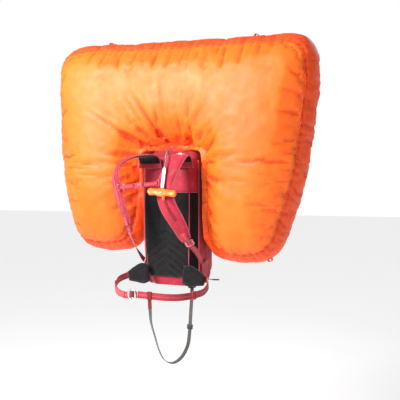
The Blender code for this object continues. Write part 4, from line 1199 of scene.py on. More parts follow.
def bay_collar():
    """The burst airbag bay: a slack cloth collar from the pack's mouth up to the pillow."""
    middle_y, foot, rise = 0.114, 0.2300, 0.0540
    line = resample(rounded_rectangle(0.216, 0.112, 0.028, 10), 160)
    ahead = unit(np.roll(line, -1, 0) - np.roll(line, 1, 0))
    rings = []
    for t in np.linspace(0, 1, 9):
        ring = []
        for (x, y), (nx, ny) in zip(line, np.stack([ahead[:, 1], -ahead[:, 0]], 1)):
            wave = 0.0050 * grain(x * 28, y * 28, t * 1.4) + 0.0020 * grain(x * 90, y * 90, t * 2.5)
            push = t * (1 - t) * 0.014 + wave * (0.25 + t)
            ring.append((x + nx * push, middle_y + y + ny * push, foot + rise * t))
        rings.append(ring)
    shell = [[(x * 0.985, middle_y + (y - middle_y) * 0.975, z) for x, y, z in ring] for ring in rings]
    attach(double_wall("airbag_bay_collar", rings, shell, 0.0040, CRIMSON), "pack", "crimson_nylon")


back_panels()
pack_cover()
bay_collar()
zip_parts()


# ------------------------------------------------------------------ padded straps and wings

# along each pad from its sewn root: x, y, z, the outward direction and the width
RIGHT_PAD = [
    (-0.069, -0.0075, 0.200, 0, 1, 0, 0.104), (-0.069, -0.0150, 0.232, 0, 0.8, 0.6, 0.098),
    (-0.074, -0.0400, 0.2470, -0.1, 0, 1, 0.085), (-0.1057, -0.080, 0.2420, -0.4, -0.4, 0.9, 0.074),
    (-0.140, -0.108, 0.2180, -0.65, -0.6, 0.5, 0.070), (-0.1537, -0.118, 0.174, -0.6, -0.8, 0.1, 0.070),
    (-0.1447, -0.120, 0.125, -0.5, -0.866, 0, 0.069), (-0.1278, -0.115, 0.061, -0.5, -0.866, 0, 0.064),
    (-0.1130, -0.107, 0.010, -0.45, -0.9, -0.1, 0.050), (-0.1090, -0.102, -0.012, -0.4, -0.9, -0.1, 0.036)]
LEFT_PAD = [
    (0.069, -0.0075, 0.200, 0, 1, 0, 0.104), (0.069, -0.0150, 0.232, 0, 0.8, 0.6, 0.098),
    (0.0720, -0.0380, 0.2455, 0, 0, 1, 0.088), (0.0726, -0.070, 0.2150, 0, -0.75, 0.66, 0.075),
    (0.0630, -0.097, 0.167, 0, -0.95, 0.3, 0.070), (0.0570, -0.113, 0.1211, 0, -1, 0.1, 0.069),
    (0.0730, -0.115, 0.060, 0.1, -1, 0, 0.067), (0.1050, -0.103, 0.000, 0.25, -0.95, 0, 0.058),
    (0.1260, -0.088, -0.0500, 0.3, -0.9, -0.2, 0.046), (0.1345, -0.080, -0.0650, 0.3, -0.9, -0.3, 0.036)]
PAD_ACROSS = [-1.0, -0.985, -0.95, -0.90, -0.86, -0.83, -0.80, -0.76, -0.66, -0.54, -0.40, -0.26, -0.12, 0.0]
PAD_ACROSS = PAD_ACROSS + [-a for a in reversed(PAD_ACROSS[:-1])]


def pad(name, knots, thick, upper, under, node, slot_name, bead, sewing, seed, root=0.0):
    """A foam pad in two cloths with a piped edge; root is how far along the under cloth starts."""
    stations = route(knots, 0.0045)
    centre, across, out, along = frames(stations)
    half = stations[:, 6] / 2 - 0.0022
    top = [(a, 1.0) for a in PAD_ACROSS]
    bottom = [(a, -1.0) for a in reversed(PAD_ACROSS[1:-1])]
    rings = np.empty((len(stations), len(top) + len(bottom), 3))
    total = along[-1]
    for i, s in enumerate(along):
        taper = min(1.0, 0.35 + 0.65 * math.sqrt(min(1.0, min(s, total - s) / 0.012)))
        for j, (a, b) in enumerate(top + bottom):
            crown = (1 - abs(a) ** 5) * 0.5 + 0.5 * math.sqrt(max(0.0, 1 - a * a))
            lift = thick / 2 * (0.16 + 0.84 * crown) * taper
            groove = bell(abs(a) - 0.83, 0.030)
            pucker = grain(s * 160.0, a * 2.0 + b, seed)
            lift -= groove * (0.0016 + 0.0004 * pucker) if b > 0 else groove * 0.0008
            lift += 0.0007 * grain(s * 30.0, a * 2.5, seed + b)
            lift += 0.0006 * pucker * bell(abs(a) - 0.74, 0.08)
            rings[i, j] = centre[i] + across[i] * a * half[i] + out[i] * b * lift
    u = np.array([a for a, b in top + bottom]) * float(np.mean(half))
    slots = [0] * (len(top) - 1) + [1] * (len(bottom) + 1)
    item = loft(name, rings, u, along, [upper, under], slots)
    count = rings.shape[1]
    for face in item.data.polygons:
        ring = face.index // count
        if face.material_index == 1 and ring < len(along) and along[ring] < root:
            face.material_index = 0
    order = np.arange(len(item.data.vertices))
    near_edge = np.abs(np.array([a for a, b in top + bottom]))[order % count] > 0.79
    puff(item, 4.0, 0.0025, near_edge | (order < 2 * count) | (order >= len(order) - 2 * count), 14)
    subdivide(item)
    attach(item, "pack", slot_name, node)
    for side, sign in (("a", -1.0), ("b", 1.0)):
        line = centre + across * (sign * (half + 0.0006))[:, None]
        attach(tube(f"{name}_bead_{side}", line, 0.0019, bead, 8), "pack",
               "pink_piping" if bead is PIPING else "black_webbing")
        line = centre + across * (sign * half * 0.83)[:, None] + out * (thick * 0.38)
        sewn = stitches(f"{name}_stitch_{side}", line[3:-3], out[3:-3], sewing, 0.0040, 0.0027, 0.0004, 0.0)
        attach(sewn, "pack", slot_name)
    return centre, across, out, along, half


def hip_wings():
    for side, sign in SIDES:
        knots = [(sign * x, y, z, 0, -1, 0, width) for x, y, z, width in
                 ((0.074, -0.0080, -0.2020, 0.066), (0.105, -0.0082, -0.2060, 0.080),
                  (0.135, -0.0088, -0.2120, 0.062), (0.158, -0.0098, -0.2180, 0.044),
                  (0.169, -0.0108, -0.2200, 0.034))]
        pad(f"hip_wing_cover_{side}", knots, 0.0130, MESH, LINING, f"hip_wing_{side}", "black_mesh",
            BLACK_WEB, BLACK_THREAD, 7.0 + sign)


PAD_THICKNESS = 0.011
RIGHT_LINE = pad("shoulder_cover_right", RIGHT_PAD, PAD_THICKNESS, CRIMSON, MESH, "shoulder_pad_right",
                 "crimson_nylon", PIPING, RED_THREAD, 1.0, 0.017)
LEFT_LINE = pad("shoulder_cover_left", LEFT_PAD, PAD_THICKNESS, CRIMSON_LIGHT, MESH, "shoulder_pad_left",
                "crimson_nylon", PIPING, RED_THREAD, 4.0, 0.023)
hip_wings()


def pad_strip(name, line, start, end, width, lift, material, slot_name, lane):
    """A webbing strip sewn along the outer face of a pad, between two distances and off its middle."""
    centre, across, out, along, half = line
    knots = []
    for s in np.linspace(start, end, max(4, int((end - start) / 0.012))):
        point, side, normal = (at(s, along, values) for values in (centre, across, out))
        reach = float(np.interp(s, along, half))
        knots.append((*(point + normal * lift + side * lane * reach), *normal, width))
    attach(band(name, knots, 0.0013, material, 0.004), "pack", slot_name)


pad_strip("daisy_chain_right", RIGHT_LINE, 0.150, 0.330, 0.0120, 0.0066, CORAL, "coral_webbing", 0.10)
pad_strip("daisy_chain_left", LEFT_LINE, 0.205, 0.335, 0.0120, 0.0066, DARK_RED, "coral_webbing", 0.05)


# ------------------------------------------------------------------ webbing

def strap(name, knots, thickness, material, slot_name, nodes=(), spacing=0.004, seed=0.0, body="pack"):
    """A webbing band in its place on a body."""
    attach(band(name, knots, thickness, material, spacing, 0.0003, seed), body, slot_name, *nodes)


def tack(name, knots, fraction, thickness, slot_name):
    """A bar tack: four close rows of stitches across a band, at a fraction of its length."""
    stations = route(knots, 0.003)
    centre, across, out, along = frames(stations)
    for row in range(4):
        place = along[-1] * fraction + (row - 1.5) * 0.0022
        point, side, normal = (at(place, along, values) for values in (centre, across, out))
        reach = float(np.interp(place, along, stations[:, 6])) / 2 - 0.0016
        line = [point + side * reach * t + normal * (thickness / 2 + 0.0001) for t in np.linspace(-1, 1, 9)]
        sewn = stitches(f"{name}_{row}", line, [normal] * 9, RED_THREAD, 0.0024, 0.0024, 0.0004, 0.0)
        attach(sewn, "pack", slot_name)


# from the ladder locks to the side seams: x, y, z and the outward direction
LOWER_RIGHT = [
    (-0.1062, -0.1010, -0.0240, -0.35, -0.92, -0.2), (-0.1078, -0.0990, -0.0330, -0.35, -0.92, -0.2),
    (-0.1082, -0.0948, -0.0410, -0.35, -0.92, -0.2), (-0.1105, -0.082, -0.058, -0.4, -0.8, -0.3),
    (-0.1165, -0.055, -0.081, -0.5, -0.6, -0.5), (-0.1240, -0.018, -0.1135, -0.8, -0.4, -0.4),
    (-0.1290, 0.024, -0.1450, -1, -0.1, -0.1), (-0.1295, 0.046, -0.1600, -1, 0, 0)]
LOWER_LEFT = [
    (0.1378, -0.0776, -0.0730, 0.3, -0.85, -0.35), (0.1402, -0.0735, -0.0800, 0.3, -0.85, -0.35),
    (0.1430, -0.0665, -0.0870, 0.3, -0.85, -0.35), (0.1440, -0.045, -0.100, 0.5, -0.6, -0.4),
    (0.1400, -0.010, -0.120, 0.8, -0.3, -0.3), (0.1330, 0.026, -0.1455, 1, -0.1, -0.1),
    (0.1295, 0.046, -0.1600, 1, 0, 0)]


def triangle(name, sign, node):
    """A folded cloth triangle that anchors the lower webbing in the pack's side seam."""
    knots = []
    for x, first, second in ((0.1295, (0.0546, -0.1571), (0.0431, -0.1771)),
                             (0.1275, (0.0766, -0.1516), (0.0586, -0.2036)),
                             (0.1245, (0.0976, -0.1496), (0.0876, -0.2136))):
        first, second = np.array((sign * x, *first)), np.array((sign * x, *second))
        knots.append((*((first + second) / 2), sign, 0, 0, float(np.linalg.norm(first - second))))
    last, before = np.array(knots[-1]), np.array(knots[-2])
    knots.append(tuple(last + (last - before) * 0.15))
    attach(band(name, knots, 0.0024, CRIMSON, 0.003, 0.0005, sign), "pack", "crimson_nylon", node)
    for row, share in enumerate((0.06, 0.90)):
        start, end = (np.array(knot[:3]) + np.array([sign * 0.0015, 0, 0])
                      + np.array([0, 0.35, 0.93]) * knot[6] * (0.5 - share) * 0.86
                      for knot in (knots[0], knots[2]))
        line = [start + (end - start) * t for t in np.linspace(0, 0.95, 14)]
        sewn = stitches(f"{name}_stitch_{row}", line, [(sign, 0, 0)] * len(line), RED_THREAD)
        attach(sewn, "pack", "crimson_nylon")


def lower_straps():
    for side, sign, knots in (("left", 1.0, LOWER_LEFT), ("right", -1.0, LOWER_RIGHT)):
        wide = [(*knot, 0.0200) for knot in knots]
        wide[0] = (*knots[0], 0.0190)
        strap(f"lower_strap_{side}", wide, 0.0016, CORAL, "coral_webbing", [f"shoulder_webbing_{side}"],
              seed=sign)
        tack(f"lower_tack_{side}", wide, 0.955, 0.0016, "coral_webbing")
        triangle(f"strap_triangle_{side}", sign, f"strap_tab_{side}")


lower_straps()

# each ladder lock's centre, the direction of its webbing and its outward direction
RIGHT_LADDER = ((-0.1078, -0.0985, -0.0270), (0.0, 0.22, -0.975), (-0.35, -0.92, -0.2))
LEFT_LADDER = ((0.1395, -0.0722, -0.0765), (0.28, 0.45, -0.84), (0.3, -0.85, -0.35))


def on_plate(place, x, y, z):
    """A point given in a plate's own axes."""
    return place @ Vector((x, y, z))


def rib(name, points, radius, material, body, slot_name, sides=8):
    """A raised round rib moulded on a buckle."""
    return attach(tube(name, points, radius, material, sides), body, slot_name)


def ladder_lock(side, spot, material, slot_name):
    """A ladder lock: a framed buckle with a ribbed centre bar and a lifted lip to tilt it by."""
    place = frame_at(*spot)
    outline = rounded_rectangle(0.0220, 0.0340, 0.0040, 5)
    holes = [rounded_rectangle(0.0045, 0.0240, 0.0012, 3, (shift, 0.0)) for shift in (-0.0055, 0.0055)]
    item = flat_plate(f"ladder_frame_{side}", [outline, *holes], 0.0040, place, material, 0.0010)
    attach(item, f"ladder_{side}", slot_name, f"ladder_lock_{side}")
    for name, x, z, radius in (("bar", 0.0, 0.0020, 0.0014), ("lip", -0.0094, 0.0022, 0.0017),
                               ("rib", 0.0093, 0.0018, 0.0011)):
        line = [on_plate(place, x, y, z) for y in np.linspace(-0.0138, 0.0138, 9)]
        rib(f"ladder_{name}_{side}", line, radius, material, f"ladder_{side}", slot_name, 10)


ladder_lock("right", RIGHT_LADDER, DARK_PLASTIC, "black_plastic")
ladder_lock("left", LEFT_LADDER, FRAME_PLASTIC, "black_plastic")


def short_loops():
    """The sewn webbing that holds each ladder lock to the pad's tapered end."""
    for side, spot, line in (("right", RIGHT_LADDER, RIGHT_LINE), ("left", LEFT_LADDER, LEFT_LINE)):
        centre, _, out, along, _ = line
        place = frame_at(*spot)
        end = np.array(on_plate(place, -0.0102, 0.0, 0.0006))
        knots = []
        for back in (0.030, 0.018, 0.008, 0.001):
            s = along[-1] - back
            point, normal = (at(s, along, values) for values in (centre, out))
            knots.append((*(point + normal * 0.0062), *normal, 0.0200))
        face = np.array(place.to_3x3() @ Vector((0, 0, 1)))
        knots.append((*((np.array(knots[-1][:3]) + end) / 2 + face * 0.0012), *face, 0.0200))
        knots.append((*end, *face, 0.0200))
        strap(f"ladder_loop_{side}", knots, 0.0014, CORAL, "coral_webbing", spacing=0.003)
        tack(f"ladder_tack_{side}", knots, 0.30, 0.0014, "coral_webbing")


short_loops()


# ------------------------------------------------------------------ sternum strap and trigger

STERNUM_START = np.array((-0.1160, -0.1450, 0.1270))
STERNUM_END = np.array((0.0330, -0.1255, 0.1420))
STERNUM_ALONG = unit(STERNUM_END - STERNUM_START)
STERNUM_FACE = (0.1, -1.0, 0.0)
STERNUM_LENGTH = float(np.linalg.norm(STERNUM_END - STERNUM_START))


def on_sternum(distance, lift=0.0):
    """A point on the sternum strap's line, at a distance from its right end and a lift off it."""
    return STERNUM_START + STERNUM_ALONG * distance + unit(np.array(STERNUM_FACE)) * lift


def sternum_place(distance):
    return frame_at(on_sternum(distance), STERNUM_ALONG, STERNUM_FACE)


def shaped(name, outlines, thickness, place, material, body, slot_name, nodes=(), rounding=0.0008):
    """A flat moulded or stamped piece in its place on a body."""
    return attach(flat_plate(name, outlines, thickness, place, material, rounding), body, slot_name, *nodes)


def sternum():
    """The sternum strap: an end clip on each pad, two bands, a tail, tongue, socket and slide."""
    clips = (("right", -0.0065, PINK_PLASTIC, "pink_piping"),
             ("left", STERNUM_LENGTH + 0.0065, RED_PLASTIC, "black_plastic"))
    for side, distance, material, slot_name in clips:
        place = sternum_place(distance)
        outline = rounded_rectangle(0.0120, 0.0240, 0.0030, 4)
        inward = 1.0 if side == "right" else -1.0
        slot = rounded_rectangle(0.0030, 0.0165, 0.0010, 2, (inward * 0.0026, 0.0))
        shaped(f"sternum_end_{side}", [outline, slot], 0.0060, place, material, "pack", slot_name,
               [f"sternum_clip_{side}"], 0.0014)
        ridge = [on_plate(place, inward * -0.0032, y, 0.0030) for y in np.linspace(-0.0085, 0.0085, 7)]
        rib(f"sternum_ridge_{side}", ridge, 0.0012, material, "pack", slot_name)
    for side, start, end in (("right", -0.0040, 0.0570), ("left", 0.0970, STERNUM_LENGTH + 0.0040)):
        knots = []
        for s in np.linspace(start, end, 7):
            sag = 0.0007 * math.sin(math.pi * (s - start) / (end - start))
            point = on_sternum(s) + np.array([0, 0, -sag])
            knots.append((*point, *STERNUM_FACE, 0.0160))
        strap(f"sternum_band_{side}", knots, 0.0016, CORAL, "coral_webbing", [f"sternum_webbing_{side}"])
    fold = [(*on_sternum(s, lift), *STERNUM_FACE, 0.0160) for s, lift in
            ((0.0190, 0.0022), (0.0260, 0.0026), (0.0360, 0.0023), (0.0500, 0.0020), (0.0560, 0.0012))]
    strap("sternum_tail", fold, 0.0014, CORAL, "coral_webbing", spacing=0.003, seed=3.0)
    tongue = [(-0.0060, -0.0085), (0.0030, -0.0085), (0.0060, -0.0060), (0.0060, 0.0060), (0.0030, 0.0085),
              (-0.0060, 0.0085)]
    shaped("sternum_prongs", [tongue, rounded_rectangle(0.0030, 0.0125, 0.0008, 2, (-0.0028, 0.0))], 0.0050,
           sternum_place(0.0624), RED_PLASTIC, "pack", "black_plastic", ["sternum_tongue"], 0.0010)
    body = [(-0.0145, -0.0085), (-0.0110, -0.0110), (0.0050, -0.0110), (0.0090, -0.0092), (0.0145, -0.0092),
            (0.0145, 0.0092), (0.0090, 0.0092), (0.0050, 0.0110), (-0.0110, 0.0110), (-0.0145, 0.0085)]
    windows = [rounded_rectangle(0.0110, 0.0026, 0.0008, 2, (-0.0030, y)) for y in (-0.0077, 0.0077)]
    slot = rounded_rectangle(0.0030, 0.0135, 0.0008, 2, (0.0108, 0.0))
    shaped("sternum_socket", [body, *windows, slot], 0.0080, sternum_place(0.0834), PINK_PLASTIC, "pack",
           "black_plastic", ["sternum_buckle"], 0.0016)
    for index, x in enumerate((-0.0080, -0.0050, -0.0020)):
        line = [on_plate(sternum_place(0.0834), x, y, 0.0040) for y in (-0.0048, 0.0, 0.0048)]
        rib(f"sternum_grip_{index}", line, 0.0006, PINK_PLASTIC, "pack", "black_plastic")
    ring = [rounded_rectangle(0.0230, 0.0066, 0.0026, 4), rounded_rectangle(0.0180, 0.0034, 0.0010, 2)]
    place = frame_at(on_sternum(0.018), np.cross(STERNUM_ALONG, STERNUM_FACE), STERNUM_ALONG)
    shaped("sternum_slide_frame", ring, 0.0090, place, RED_PLASTIC, "sternum_slide", "black_plastic",
           ["sternum_adjuster"], 0.0007)


sternum()

TRIGGER_TOP = np.array((0.0497, -0.0990, 0.1980))
TRIGGER_BOTTOM = np.array((0.0575, -0.1290, 0.1250))
TRIGGER_AXIS = unit(TRIGGER_BOTTOM - TRIGGER_TOP)
TRIGGER_ACROSS = unit(np.array((0.985, 0.173, -0.07)))
TRIGGER_FACE = -unit(np.cross(TRIGGER_ACROSS, TRIGGER_AXIS))
HUB = TRIGGER_BOTTOM + TRIGGER_AXIS * 0.0195
# the grip's stations across, and its upper and lower edges as (across, height)
GRIP_X = (-0.0540, -0.0535, -0.052, -0.049, -0.046, -0.040, -0.033, -0.026, -0.020, -0.015, -0.011,
          -0.007, -0.003, 0.0, 0.003, 0.007, 0.011, 0.015, 0.020, 0.026, 0.033, 0.040, 0.046, 0.050, 0.053,
          0.0550, 0.0560)
GRIP_UP = ((-0.054, 0.0045), (-0.052, 0.0120), (-0.046, 0.0155), (-0.020, 0.0125), (-0.009, 0.0165),
           (0.009, 0.0165), (0.020, 0.0125), (0.046, 0.0135), (0.053, 0.0110), (0.056, 0.0040))
GRIP_DOWN = ((-0.054, -0.0010), (-0.050, -0.0100), (-0.044, -0.0130), (-0.022, -0.0095), (-0.010, -0.0150),
             (0.010, -0.0150), (0.022, -0.0095), (0.048, -0.0130), (0.053, -0.0110), (0.056, -0.0030))


def trigger():
    """The T-grip: a bowed bar with finger hollows, thumb ribs, a hub and a short pull tail."""
    up_axis = np.cross(TRIGGER_FACE, TRIGGER_ACROSS)
    sides = 28
    rings = []
    for x in GRIP_X:
        top, low = (np.interp(x, *zip(*line)) for line in (GRIP_UP, GRIP_DOWN))
        end = min(1.0, (0.0560 - abs(x)) / 0.006 + 0.35)
        deep = 0.0075 * end ** 0.5
        if 0.016 < abs(x) < 0.048:
            deep *= 1.0 - 0.05 * (1 + math.sin(abs(x) * 2 * math.pi / 0.0052))
        ring = []
        for j in range(sides):
            c, s = squared_circle(2 * math.pi * j / sides, 0.72)
            height = (top + low) / 2 + (top - low) / 2 * c
            ring.append(HUB + TRIGGER_ACROSS * x + up_axis * height + TRIGGER_FACE * deep * s)
        rings.append(ring)
    u = np.arange(sides) * (0.06 / sides)
    grip = loft("trigger_grip", np.array(rings), u, GRIP_X, [AMBER])
    subdivide(grip)
    attach(grip, "trigger", "amber_plastic", "trigger_handle")
    place = frame_at(HUB + TRIGGER_FACE * 0.0075, TRIGGER_ACROSS, TRIGGER_FACE)
    shaped("trigger_boss", [circle(0.0062, 32), circle(0.0030, 24)], 0.0032, place, AMBER, "trigger",
           "amber_plastic", (), 0.0010)
    shaped("trigger_rivet", [circle(0.0029, 24)], 0.0040, place, BRIGHT, "trigger", "amber_plastic", (),
           0.0010)
    tail = []
    for drop, out in ((0.0120, 0.0045), (0.0185, 0.0050), (0.0250, 0.0040), (0.0300, 0.0022)):
        point = HUB + TRIGGER_AXIS * drop + TRIGGER_FACE * out + TRIGGER_ACROSS * 0.010
        tail.append((*point, *TRIGGER_FACE, 0.0100))
    strap("trigger_tail", tail, 0.0016, SHADED_ORANGE, "amber_plastic", spacing=0.002, body="trigger")


def trigger_sheath():
    """The white fabric sleeve of the T-grip's cable, flattened, with a clear bore from end to end."""
    width, depth, bore = 0.0135, 0.0060, 0.0021
    sides, steps = 32, 22
    outer, inner = [], []
    for i in range(steps + 1):
        t = i / steps
        centre = TRIGGER_TOP + (TRIGGER_BOTTOM - TRIGGER_TOP) * t
        swell = 1.0 + 0.035 * math.sin(t * 21.0) * math.sin(math.pi * t)
        pinch = 1.0 - 0.20 * math.exp(-min(t, 1 - t) / 0.03)
        line, hole = [], []
        for j in range(sides):
            angle = 2 * math.pi * j / sides
            c, s = squared_circle(angle, 0.6)
            line.append(centre + TRIGGER_ACROSS * c * width / 2 * pinch
                        + TRIGGER_FACE * s * depth / 2 * swell * pinch)
            hole.append(centre + TRIGGER_ACROSS * math.cos(angle) * bore
                        + TRIGGER_FACE * math.sin(angle) * bore)
        outer.append(line)
        inner.append(hole)
    item = double_wall("trigger_sheath", outer, inner, 2 * (width + depth) / sides, WHITE)
    attach(item, "pack", "white_fabric", "trigger_sleeve")


trigger()
trigger_sheath()
CABLE_ROUTE = [tuple(TRIGGER_TOP - TRIGGER_AXIS * 0.0006),
               (0.0462, -0.0850, 0.2240), (0.0360, -0.0640, 0.2500),
               (0.0210, -0.0300, 0.2640), (0.0060, 0.0020, 0.2600), (-0.0080, 0.0280, 0.2500),
               (-0.0300, 0.0420, 0.2470), (-0.0440, 0.0450, 0.2400), (-0.0450, 0.0450, 0.2325)]


def housing():
    """The braided cable housing over the shoulder, with its ferrule."""
    line = route(CABLE_ROUTE, 0.003)
    attach(tube("cable_braid", line, 0.0026, BRAID, 14), "pack", "black_plastic", "trigger_cable_housing")
    attach(tube("cable_ferrule", line[:5], 0.0033, STEEL, 16), "pack", "black_plastic")


housing()


# ------------------------------------------------------------------ hip belt and leg strap

# from the wings round to the buckle: x, y, z, the outward direction and the width
BELT_RIGHT = [
    (-0.136, 0.0015, -0.206, 0, 1, 0, 0.022), (-0.160, 0.0015, -0.213, 0, 1, 0, 0.025),
    (-0.1795, -0.0100, -0.2200, -0.8, 0.6, 0, 0.025), (-0.1860, -0.050, -0.2300, -1, 0, 0, 0.025),
    (-0.1700, -0.092, -0.2430, -0.9, -0.4, 0, 0.025), (-0.1453, -0.130, -0.2517, -0.7, -0.7, 0, 0.025),
    (-0.1007, -0.175, -0.2590, -0.5, -0.8, 0, 0.025), (-0.0500, -0.2120, -0.2600, -0.4, -0.9, 0, 0.025),
    (-0.0270, -0.2225, -0.2578, -0.2, -1, 0, 0.025)]
BELT_LEFT = [
    (0.136, 0.0015, -0.206, 0, 1, 0, 0.022), (0.160, 0.0015, -0.212, 0, 1, 0, 0.025),
    (0.1810, -0.0080, -0.2200, 0.8, 0.6, 0, 0.025), (0.1960, -0.038, -0.2350, 1, 0, 0, 0.025),
    (0.1975, -0.075, -0.2505, 1, -0.1, 0, 0.025), (0.1876, -0.120, -0.2560, 0.8, -0.5, 0, 0.025),
    (0.1587, -0.170, -0.2600, 0.6, -0.8, 0, 0.025), (0.1180, -0.205, -0.2585, 0.4, -0.9, 0, 0.025),
    (0.0667, -0.2260, -0.2540, 0.2, -1, 0, 0.025), (0.0180, -0.2315, -0.2518, 0, -1, 0, 0.025)]
BUCKLE = np.array((-0.0045, -0.2345, -0.2525))
BUCKLE_FACE = unit(np.array((-0.12, -1.0, 0.0)))
BUCKLE_ALONG = unit(np.cross((0, 0, 1), BUCKLE_FACE))


def belt_half(side, knots, doubled, seed):
    """One side of the belt: its band, the doubled tail over some of its knots, and the tail's keeper."""
    strap(f"hip_band_{side}", knots, 0.0018, CORAL, "coral_webbing", [f"hip_webbing_{side}"], seed=seed)
    tack(f"hip_tack_{side}", knots, 0.045, 0.0018, "coral_webbing")
    points = [np.array(knot[:3]) for knot in knots]
    normals = [unit(np.array(knot[3:6])) for knot in knots]
    low, high = doubled
    lead_in = (points[low - 1] + 3 * points[low]) / 4 + normals[low] * 0.0026
    tail = [(*lead_in, *normals[low], 0.0240)]
    for point, normal in zip(points[low:high], normals[low:high]):
        tail.append((*(point + normal * 0.0022), *normal, 0.0245))
    strap(f"hip_tail_{side}", tail, 0.0014, CORAL, "coral_webbing", seed=2.0)
    centre, across, out, along = frames(route(tail, 0.004))
    i = int(0.10 * len(along)) + 1
    bar = [rounded_rectangle(0.0310, 0.0150, 0.0036, 4)]
    bar += [rounded_rectangle(0.0256, 0.0036, 0.0012, 2, (0, shift)) for shift in (0.0034, -0.0034)]
    place = frame_at(centre[i] + out[i] * 0.0018, across[i], out[i])
    shaped(f"hip_keeper_{side}", bar, 0.0026, place, PINK_PLASTIC, "pack", "coral_webbing", (), 0.0007)


def hip_buckle():
    """The metal ring on its hook plate, with the webbing folded round both."""
    place = frame_at(BUCKLE, BUCKLE_ALONG, BUCKLE_FACE)
    turn = place.to_3x3()
    slots = [rounded_rectangle(0.0062, 0.0265, 0.0028, 5, (shift, 0.0)) for shift in (-0.0072, 0.0072)]
    shaped("buckle_ring", [circle(0.0195, 64), *slots], 0.0036, place, BRIGHT, "hip_ring", "bright_metal",
           ["hip_buckle_frame"], 0.0011)
    rim = [on_plate(place, 0.0186 * math.cos(a), 0.0186 * math.sin(a), 0.0012)
           for a in np.linspace(0, 2 * math.pi, 65)]
    attach(tube("buckle_rim", rim, 0.0013, BRIGHT, 10, caps=False), "hip_ring", "bright_metal")
    half = ((0.0025, 0.0029, 0.1, 1.0), (0.0060, 0.0018, 0.6, 0.8), (0.0072, -0.0015, 0.9, 0.4))
    wrap = [(*on_plate(place, x, 0.0, z), *(turn @ Vector((nx, 0.0, nz))), 0.0225) for x, z, nx, nz in
            [(-x, z, -nx, nz) for x, z, nx, nz in reversed(half)] + list(half)]
    strap("buckle_wrap", wrap, 0.0014, DARK_RED, "coral_webbing", spacing=0.0012, body="hip_ring")
    base = [rounded_rectangle(0.0300, 0.0280, 0.0060, 6),
            rounded_rectangle(0.0035, 0.0230, 0.0012, 3, (0.0105, 0.0))]
    shaped("buckle_base", base, 0.0026, Matrix.Translation(-BUCKLE_FACE * 0.0050) @ place, BRIGHT, "pack",
           "bright_metal", ["hip_buckle_plate"], 0.0008)
    fold = [(*on_plate(place, x, 0.0, z), *(turn @ Vector((nx, 0, 1.0))), 0.0225)
            for x, z, nx in ((0.0225, -0.0012, 0.0), (0.0180, -0.0024, -0.3), (0.0140, -0.0066, -0.6),
                             (0.0100, -0.0084, -0.2), (0.0060, -0.0090, 0.0))]
    strap("buckle_fold", fold, 0.0014, CORAL, "coral_webbing", spacing=0.0015)


belt_half("right", BELT_RIGHT, (4, 8), 8.0)
belt_half("left", BELT_LEFT, (5, 9), 5.0)
hip_buckle()

LEG_WIDTH = 0.0150
LEG_LOOP = np.array((0.0640, -0.2265, -0.2538))
LEG_TURN = (8, 26, 32, 32, 26, 16, 8, 0, 0, 0, 0, 0)     # degrees, at each point of the route
LEG_ROUTE = [(0.0628, -0.2215, -0.3012), (0.0622, -0.2140, -0.3480), (0.0620, -0.1870, -0.4060),
             (0.0620, -0.1600, -0.4580), (0.0615, -0.1200, -0.5026), (0.0620, -0.0600, -0.5260),
             (0.0612, 0.0050, -0.5190), (0.0620, 0.0520, -0.4840), (0.0630, 0.0660, -0.4350),
             (0.0640, 0.0740, -0.3600), (0.0650, 0.0800, -0.3000), (0.0655, 0.0820, -0.2635)]


def leg_knots():
    """The route with the strap's facing: it twists on the way down and hangs flat on the way back."""
    knots = []
    for index, point in enumerate(LEG_ROUTE):
        before = np.array(LEG_ROUTE[max(index - 1, 0)])
        after = np.array(LEG_ROUTE[min(index + 1, len(LEG_ROUTE) - 1)])
        flat = unit(np.cross((1, 0, 0), after - before))
        turn = math.radians(LEG_TURN[index])
        normal = flat * math.cos(turn) + np.array((1, 0, 0)) * math.sin(turn)
        knots.append((*point, *normal, LEG_WIDTH))
    return knots


def belt_loop():
    """The sewn loop round the hip belt that the leg strap hangs from, with its short tail."""
    out = np.cross(UP, unit(np.array((0.97, 0.14, 0.0))))
    loop = []
    for step in range(25):
        c, s = squared_circle(2 * math.pi * step / 24, 0.45, 0.8)
        point = LEG_LOOP + out * c * 0.0033 + np.array(UP) * s * 0.0143
        loop.append((*point, *unit(out * c + np.array(UP) * s), 0.0165))
    strap("belt_loop", loop, 0.0013, DARK_RED, "crimson_nylon", ["leg_strap_loop"], spacing=0.002)
    x, y, z = LEG_ROUTE[0]
    tail = [(*point, *FRONT, LEG_WIDTH) for point in
            (LEG_LOOP + np.array((-0.0006, 0.0010, -0.0140)), (x + 0.0004, -0.2240, -0.2850),
             (x, y - 0.0002, z + 0.0006))]
    strap("belt_loop_tail", tail, 0.0026, DARK_RED, "crimson_nylon", ["leg_strap_tail"], spacing=0.003)
    tack("belt_loop_tack", tail, 0.30, 0.0026, "crimson_nylon")


def leg_slide():
    """The adjuster on the leg strap's rear run; its frame and ribs go with the strap."""
    low, high = (np.array(LEG_ROUTE[k]) for k in (8, 9))
    place = frame_at(low + (high - low) * 0.30, (1, 0, 0), unit(high - low))
    ring = [rounded_rectangle(0.0235, 0.0080, 0.0030, 4), rounded_rectangle(0.0172, 0.0038, 0.0010, 2)]
    pieces = [shaped("leg_slide", ring, 0.0180, place, PLASTIC, "leg_adjuster", "black_plastic",
                     ["leg_strap_adjuster"], 0.0009)]
    for index, z in enumerate((-0.0050, 0.0, 0.0050)):
        line = [on_plate(place, x, -0.0040, z) for x in (-0.0085, 0.0, 0.0085)]
        pieces.append(rib(f"leg_slide_rib_{index}", line, 0.0007, PLASTIC, "leg_adjuster", "black_plastic"))
    return pieces


